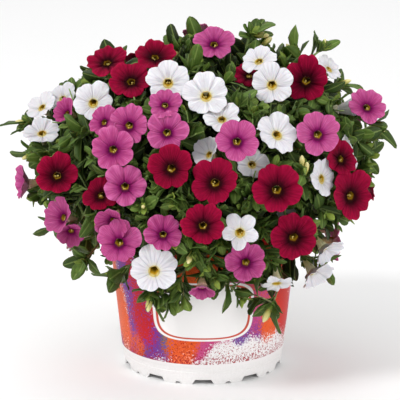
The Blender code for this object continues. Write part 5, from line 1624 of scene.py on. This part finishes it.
def sprig_path(at, out, anchors, bouquet, rng):
    """A side shoot's way to a place, from the stem point that costs least and lets it pass clear, or None."""
    away = at - anchors
    span = np.linalg.norm(away, axis=1)
    rise = (away @ out) / np.maximum(span, 1.0)
    cost = np.where((span > SPRIG_SHORTEST) & (rise > 0.1), span * (1.5 - 0.5 * rise), 1000.0)
    for index in np.argsort(cost)[:SPRIG_TRIES]:
        start = anchors[index]
        lean = unit(out + (0.0, 0.0, SPRIG_SPREAD) + SPRIG_SPREAD * rng.normal(size=3))
        if at[2] < POT_HEIGHT:
            lean = unit(out - (0.0, 0.0, 0.8) + 0.2 * rng.normal(size=3))
        middle = start + 0.45 * (at - start) + 0.16 * span[index] * unit(out + (0.0, 0.0, 0.6))
        path = dotted(curve(start, 0.5 * (start + middle), middle, at, SPRIG_PARTS))
        path = eased(np.vstack((path, at + SPRIG_TIP * lean)))
        if pot_clear(path[3:]) and bouquet.nearest(path) > SPRIG_TO_BLOOM:
            return path
    return None


def sprig_leaves(path, lift, bouquet, rng):
    """The leaves of a side shoot in turn round it, closer together towards its tip, and darker further in as
    painted shade.
    """
    steps = np.linalg.norm(np.diff(path, axis=0), axis=1)
    marks = np.concatenate(((0.0,), np.cumsum(steps)))
    turn = rng.uniform(0.0, math.tau)
    leaves = []
    for number in range(SPRIG_LEAVES):
        mark = marks[-1] - 0.3 - 1.5 * number - 0.22 * number ** 2
        if mark < 0.15 * marks[-1]:
            break
        before, root = (np.array([np.interp(at, marks, path[:, axis]) for axis in range(3)])
                        for at in (mark - 2.0, mark))
        leaf = free_leaf(root, unit(root - before), number, turn + GOLDEN_TURN * number, bouquet, rng)
        if leaf is not None:
            # Painted shade: the deeper in the mound the shoot ends, the darker its leaves are painted
            leaf["age_and_shade"] = max(0.0, leaf["age_and_shade"] - SHADE_FADES * max(0.0, SHADE_FROM - lift))
            leaves.append(leaf)
    return leaves


def grow_sprigs(plants, bouquet, rng):
    """Side shoots from the nearest stem of any plant, each a path with its leaves."""
    anchors = np.vstack([path[2:] for plant in plants for path in plant["ends"]])
    sprigs = []
    for at, out, lift in sprig_targets(rng):
        path = sprig_path(at, out, anchors, bouquet, rng)
        if path is None:
            continue
        leaves = sprig_leaves(path, lift, bouquet, rng)
        if leaves:
            sprigs.append((path, leaves))
    return sprigs


def grow_rosettes(plants, bouquet, rng):
    """Small young leaves that crowd round the tips of the leafy shoots."""
    leaves = []
    for plant in plants:
        for shoot in plant["shoots"]:
            if shoot["cup"] is not None:
                continue
            path = shoot["path"]
            grow = unit(path[-1] - path[-3])
            turn = rng.uniform(0.0, math.tau)
            for number in range(ROSETTE_LEAVES):
                root = path[-1] - (0.2 + 0.7 * number) * grow
                leaf = free_leaf(root, grow, number, turn + GOLDEN_TURN * number, bouquet, rng)
                if leaf is not None:
                    leaves.append(leaf)
    return leaves


def free_leaf(root, grow, number, first_turn, bouquet, rng):
    """A leaf of a side shoot, turned and shortened until it is clear of the pot and the petals, or None.

    Each leaf down from the tip is longer and older than the one before it, and leans out further.
    """
    aside, above = frame_round(grow)
    splay = min(FREE_MOST_SPLAY, FREE_SPLAY[0] + FREE_SPLAY[1] * number)
    longest = min(FREE_LONGEST, FREE_LENGTH[0] + FREE_LENGTH[1] * number)
    for trial, swing in enumerate(FREE_SWINGS):
        turn = first_turn + swing
        side = math.cos(turn) * aside + math.sin(turn) * above
        length = rng.uniform(0.85, 1.15) * longest * (1.0 - FREE_SHORTENS * trial)
        leaf = make_leaf(root, math.cos(splay) * grow + math.sin(splay) * side, grow, length, rng)
        leaf["half"] *= FREE_WIDER[0] + FREE_WIDER[1] * number
        age_and_shade = FREE_AGE[0] + FREE_AGE[1] * number + rng.uniform(-0.12, 0.12)
        leaf["age_and_shade"] = float(np.clip(age_and_shade, 0.0, 1.0))
        points = leaf_points(leaf, np.array((0.3, 0.5, 0.5, 0.75, 0.75, 1.0)),
                             np.array((0.0, 0.9, -0.9, 0.8, -0.8, 0.0)) * leaf["half"], 0.0)
        if pot_clear(points) and bouquet.leaves_free(points):
            return leaf
    return None


def wall_radius(height):
    """The pot's outer radius at a height."""
    return POT_FOOT_RADIUS + POT_FLARE * height


def pot_rows():
    """The pot's profile, from inside the foot round to inside the floor: radius, height, share of a notch."""
    inside_foot = wall_radius(0.0) - POT_WALL
    sleeve_foot = wall_radius(LABEL_LOW) + LABEL_STEP
    bead = POT_HEIGHT - RIM_BEAD_HEIGHT
    under_bead = wall_radius(bead) + LABEL_STEP
    rim = wall_radius(POT_HEIGHT) + RIM_BEAD
    inside_rim = wall_radius(POT_HEIGHT) - POT_WALL
    floor_top = FLOOR_HEIGHT + FLOOR_THICKNESS
    groove_low, groove_high, groove_deep = GROOVE
    waist = [(wall_radius(height) + LABEL_STEP, height, 0.0) for height in WAIST_HEIGHTS]
    return [
        (wall_radius(FLOOR_HEIGHT) - POT_WALL - EDGE_ROUND, FLOOR_HEIGHT, 0.0),
        (inside_foot, FOOT_ROUND, 1.0),
        (inside_foot + EDGE_ROUND, 0.0, 1.0),
        (wall_radius(0.0) - EDGE_ROUND, 0.0, 1.0),
        (wall_radius(0.0), FOOT_ROUND, 1.0),
        (wall_radius(HEEL_HEIGHT), HEEL_HEIGHT, 0.0),
        (wall_radius(groove_low), groove_low, 0.0),
        (wall_radius(groove_high) - groove_deep, groove_high, 0.0),
        (wall_radius(LABEL_LOW) - 0.05, LABEL_LOW, 0.0),
        (sleeve_foot - 0.1, LABEL_LOW + 0.15, 0.0),
        (sleeve_foot, LABEL_LOW + 0.5, 0.0),
        *waist,
        (under_bead, bead - LABEL_STEP, 0.0),
        (under_bead + BEAD_ROUND, bead - 0.1, 0.0),
        (rim, bead + BEAD_ROUND, 0.0),
        (rim, POT_HEIGHT - BEAD_ROUND, 0.0),
        (rim - 0.3, POT_HEIGHT - EDGE_ROUND, 0.0),
        (rim - 0.8, POT_HEIGHT, 0.0),
        (inside_rim + 0.3, POT_HEIGHT, 0.0),
        (inside_rim, POT_HEIGHT - 0.4, 0.0),
        (wall_radius(floor_top) - POT_WALL, floor_top, 0.0),
    ]


def add_pot(pile):
    """The pot turned about its axis: raised floor, foot with notches, sleeve step, wall, rolled rim, inside.

    The foot's lowest rows stand on the ground. At each notch, and less at the nick midway between two,
    they rise by a height that grows evenly over a short turn and then stays full.
    """
    half = 0.5 * FOOT_NOTCH_WIDTH / wall_radius(0.0)
    turns = turns_round(POT_COLUMNS)
    from_notch = np.abs((turns * FOOT_NOTCHES / math.tau) % 1.0 - 0.5) * math.tau / FOOT_NOTCHES / half
    from_nick = np.abs((turns * FOOT_NOTCHES / math.tau + 0.5) % 1.0 - 0.5) * math.tau / FOOT_NOTCHES / half
    low = FOOT_NOTCH_HEIGHT * np.clip((NOTCH_EDGE[0] - from_notch) / NOTCH_EDGE[1], 0.0, 1.0)
    low = low + NICK_HEIGHT * np.clip((NICK_EDGE[0] - from_nick) / NICK_EDGE[1], 0.0, 1.0)
    radii, heights, notched = np.array(pot_rows()).T[:, :, None]
    out = radii + 0.0 * turns
    ring = np.stack((out * np.cos(turns), out * np.sin(turns), heights + notched * low), -1).reshape(-1, 3)
    floor_top = FLOOR_HEIGHT + FLOOR_THICKNESS
    points = np.vstack(((0.0, 0.0, FLOOR_HEIGHT), ring, (0.0, 0.0, floor_top)))
    quads, first, last = capped(len(out), len(turns))
    quad_row = np.repeat(np.arange(len(out) - 1), len(turns))
    sleeve = (quad_row >= SLEEVE_ROWS[0]) & (quad_row <= SLEEVE_ROWS[1])
    pile.add(points, (0.0, 0.0, 0.0), [quads[~sleeve], first, last])
    pile.add_faces([quads[sleeve]], 1)


def add_soil(pile, rng):
    """The soil: a plug whose top is a parabola's crown, broken up by sines that cross it in any direction."""
    low = FLOOR_HEIGHT + FLOOR_THICKNESS + GAP
    inner = POT_WALL + SOIL_CLEARANCE
    shoulder = SOIL_TOP - 2.0
    turns = turns_round(SOIL_COLUMNS)
    side = np.array((wall_radius(low) - inner, wall_radius(shoulder) - inner))
    out = np.concatenate((side, SOIL_ROWS * (wall_radius(SOIL_TOP) - inner)))
    high = np.concatenate(((low, shoulder), SOIL_TOP - 1.0 + SOIL_CROWN * (1.0 - SOIL_ROWS ** 2)))
    x = out[:, None] * np.cos(turns)
    y = out[:, None] * np.sin(turns)
    rough = np.zeros_like(x)
    for _ in range(SOIL_WAVES):
        way = rng.normal(size=2) * rng.uniform(0.2, 1.9)
        rough = rough + np.sin(way[0] * x + way[1] * y + rng.uniform(0.0, math.tau)) / SOIL_WAVES
    grown = np.concatenate((np.zeros(len(side)), np.full(len(SOIL_ROWS), SOIL_WAVE_HEIGHT)))
    z = high[:, None] + grown[:, None] * rough
    points = np.vstack(((0.0, 0.0, low), np.stack((x, y, z), -1).reshape(-1, 3), (0.0, 0.0, SOIL_TOP + 1.5)))
    pile.add(points, (0.0, 0.0, 0.0), capped(len(out), len(turns)))


def dress_plants(plants, skins, rng):
    """The leafy stems of each colour: main stems, shoots, calyces and leaves."""
    for plant in plants:
        pile = Pile()
        leaves = []
        for fork, corners in enumerate(plant["stems"]):
            if fork == 0:
                corners = np.vstack((plant["base"] - (0.0, 0.0, HOLE_DEPTH - 1.0), corners))
            path = thinned(eased(dotted(corners)))
            add_tube(pile, path, np.linspace(STEM_RADIUS[0], STEM_RADIUS[1], len(path)), STEM_COLUMNS, 0.3, 1)
        for shoot in plant["shoots"]:
            soft = eased(shoot["path"])
            path = thinned(soft)
            radii = np.linspace(SHOOT_RADIUS + 0.1, SHOOT_RADIUS - 0.2, len(path))
            add_tube(pile, path, radii, STEM_COLUMNS, 0.5, 1)
            if shoot["cup"] is not None:
                leaves += add_calyx(pile, path[-1], shoot["cup"], rng)
            for at, leaf in shoot["leaves"]:
                tip_share = at / len(shoot["path"])
                leaf["age_and_shade"] = float(np.clip(0.15 + 0.5 * tip_share + rng.uniform(-0.2, 0.2), 0.0, 1.0))
                leaf["root"] = soft[at]
                leaves.append(leaf)
        add_leaves(pile, leaves, rng)
        make_piece("fine_" + plant["name"], pile, skins, "foliage", (plant["name"],))


def dress_sprigs(sprigs, rosettes, skins, rng):
    """The side shoots with their leaves, in a few pieces, and the rosettes of young leaves in one."""
    for number, share in enumerate(np.array_split(np.arange(len(sprigs)), SPRIG_PIECES)):
        pile = Pile()
        leaves = []
        for index in share:
            path = thinned(sprigs[index][0])
            add_tube(pile, path, np.linspace(*SPRIG_RADII, len(path)), SPRIG_COLUMNS, 0.6, 1)
            leaves += sprigs[index][1]
        add_leaves(pile, leaves, rng)
        make_piece(f"side_shoots_{number + 1}", pile, skins, "foliage")
    pile = Pile()
    add_leaves(pile, rosettes, rng)
    make_piece("young_leaves", pile, skins[:1], "foliage")


def dress_blooms(blooms, pollen, rng):
    """The fine blooms, node by node, and all their anthers in one piece."""
    skins = {colour: petal_material(*skin) for colour, skin in PETAL_SKINS.items()}
    stamens = Pile()
    for node in sorted({bloom["node"] for bloom in blooms}):
        pile = Pile()
        for bloom in blooms:
            if bloom["node"] == node:
                add_bloom(pile, bloom, rng)
                add_stamens(stamens, bloom, rng)
        colour = node.split("_")[0]
        make_piece("petals_" + node, pile, (skins[colour],), PETAL_SKINS[colour][0], ("bloom_" + node,))
    make_piece("anthers", stamens, (pollen,), "white_petal")


def dress_pot():
    """The pot with its printed sleeve, and the soil."""
    pile = Pile()
    add_pot(pile)
    pot = make_piece("turned_pot", pile, (foot_material(), label_material()), "pot", ("pot",))
    pot.data.set_sharp_from_angle(angle=POT_CREASE)
    pile = Pile()
    add_soil(pile, np.random.default_rng(SOIL_SEED))
    make_piece("crumbly_soil", pile, (soil_material(),), "soil", ("soil",))


def dress_buds(plants, bouquet, leaf_skin, rng):
    """Buds that stand from some of the leafy tips, and their calyces."""
    buds = Pile()
    calyces = Pile()
    sepals = []
    for plant in plants:
        for shoot in plant["shoots"]:
            if shoot["cup"] is not None or rng.uniform() > BUD_SHARE:
                continue
            path = shoot["path"]
            way = unit(unit(path[-1] - path[-3]) + 0.3 * rng.normal(size=3))
            length = BUD_LENGTH * rng.uniform(0.6, 1.25)
            points = path[-1] + np.linspace(0.2, 1.0, 5)[:, None] * length * way
            if bouquet.leaves_free(points, BUD_TO_BLOOM):
                add_bud(buds, path[-1] + 0.5 * way, way, length, rng)
                sepals += add_calyx(calyces, path[-1] - 0.8 * way, way, rng)
    add_leaves(calyces, sepals, rng)
    make_piece("buds", buds, (bud_material(),), "white_petal")
    make_piece("bud_calyces", calyces, (leaf_skin,), "foliage")


def build_stage():
    """A plain pale floor, a soft pale sky, a key light at the upper left, a weak fill and a ceiling light."""
    floor = bpy.data.meshes.new("floor")
    corners = [(x * FLOOR_HALF, y * FLOOR_HALF, 0.0) for x, y in ((-1, -1), (1, -1), (1, 1), (-1, 1))]
    floor.from_pydata(corners, [], [(0, 1, 2, 3)])
    material, tree, shader = fresh_material("pale_floor", 0.9)
    wire(tree, shader, {"Base Color": "#F6F6F6"})
    floor.materials.append(material)
    linked("floor", floor)
    world = bpy.data.worlds.new("soft_sky")
    world.use_nodes = True
    sky = world.node_tree.nodes["Background"]
    sky.inputs["Color"].default_value = linear("#FFFFFF")
    sky.inputs["Strength"].default_value = SKY_STRENGTH
    bpy.context.scene.world = world
    for name, at, size, power in LIGHTS:
        lamp = bpy.data.lights.new(name, "AREA")
        lamp.shape = "DISK"
        lamp.size = size
        lamp.energy = power
        light = linked(name, lamp)
        light.location = at
        light.rotation_euler = (Vector(LIGHT_AIM) - Vector(at)).to_track_quat("-Z", "Y").to_euler()


def build_camera():
    """The camera at the photo's eye, looking along the photo's middle."""
    eye, _, _, forwards = photo_axes()
    data = bpy.data.cameras.new("photo_camera")
    data.sensor_width = SENSOR_WIDTH
    data.lens = PHOTO_FOCAL_PX / (2.0 * PHOTO_MIDDLE_PX[0]) * data.sensor_width
    camera = linked("photo_camera", data)
    camera.location = (eye + RECENTRE) * MM
    camera.rotation_euler = Vector(forwards).to_track_quat("-Z", "Y").to_euler()
    bpy.context.scene.camera = camera


def main():
    """Builds the stage, the pot and the plan of the plant, then dresses it piece by piece."""
    build_camera()
    build_stage()
    dress_pot()
    blooms, plants = plan_plant()
    rng = np.random.default_rng(SPRIG_SEED)
    bouquet = Bouquet(blooms)
    sprigs = grow_sprigs(plants, bouquet, rng)
    rosettes = grow_rosettes(plants, bouquet, rng)
    skins = leaf_material(), stem_material()
    dress_plants(plants, skins, rng)
    dress_sprigs(sprigs, rosettes, skins, rng)
    dress_blooms(blooms, anther_material(), rng)
    dress_buds(plants, bouquet, skins[0], rng)
    bpy.context.scene.view_settings.view_transform = "Standard"
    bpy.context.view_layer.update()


main()
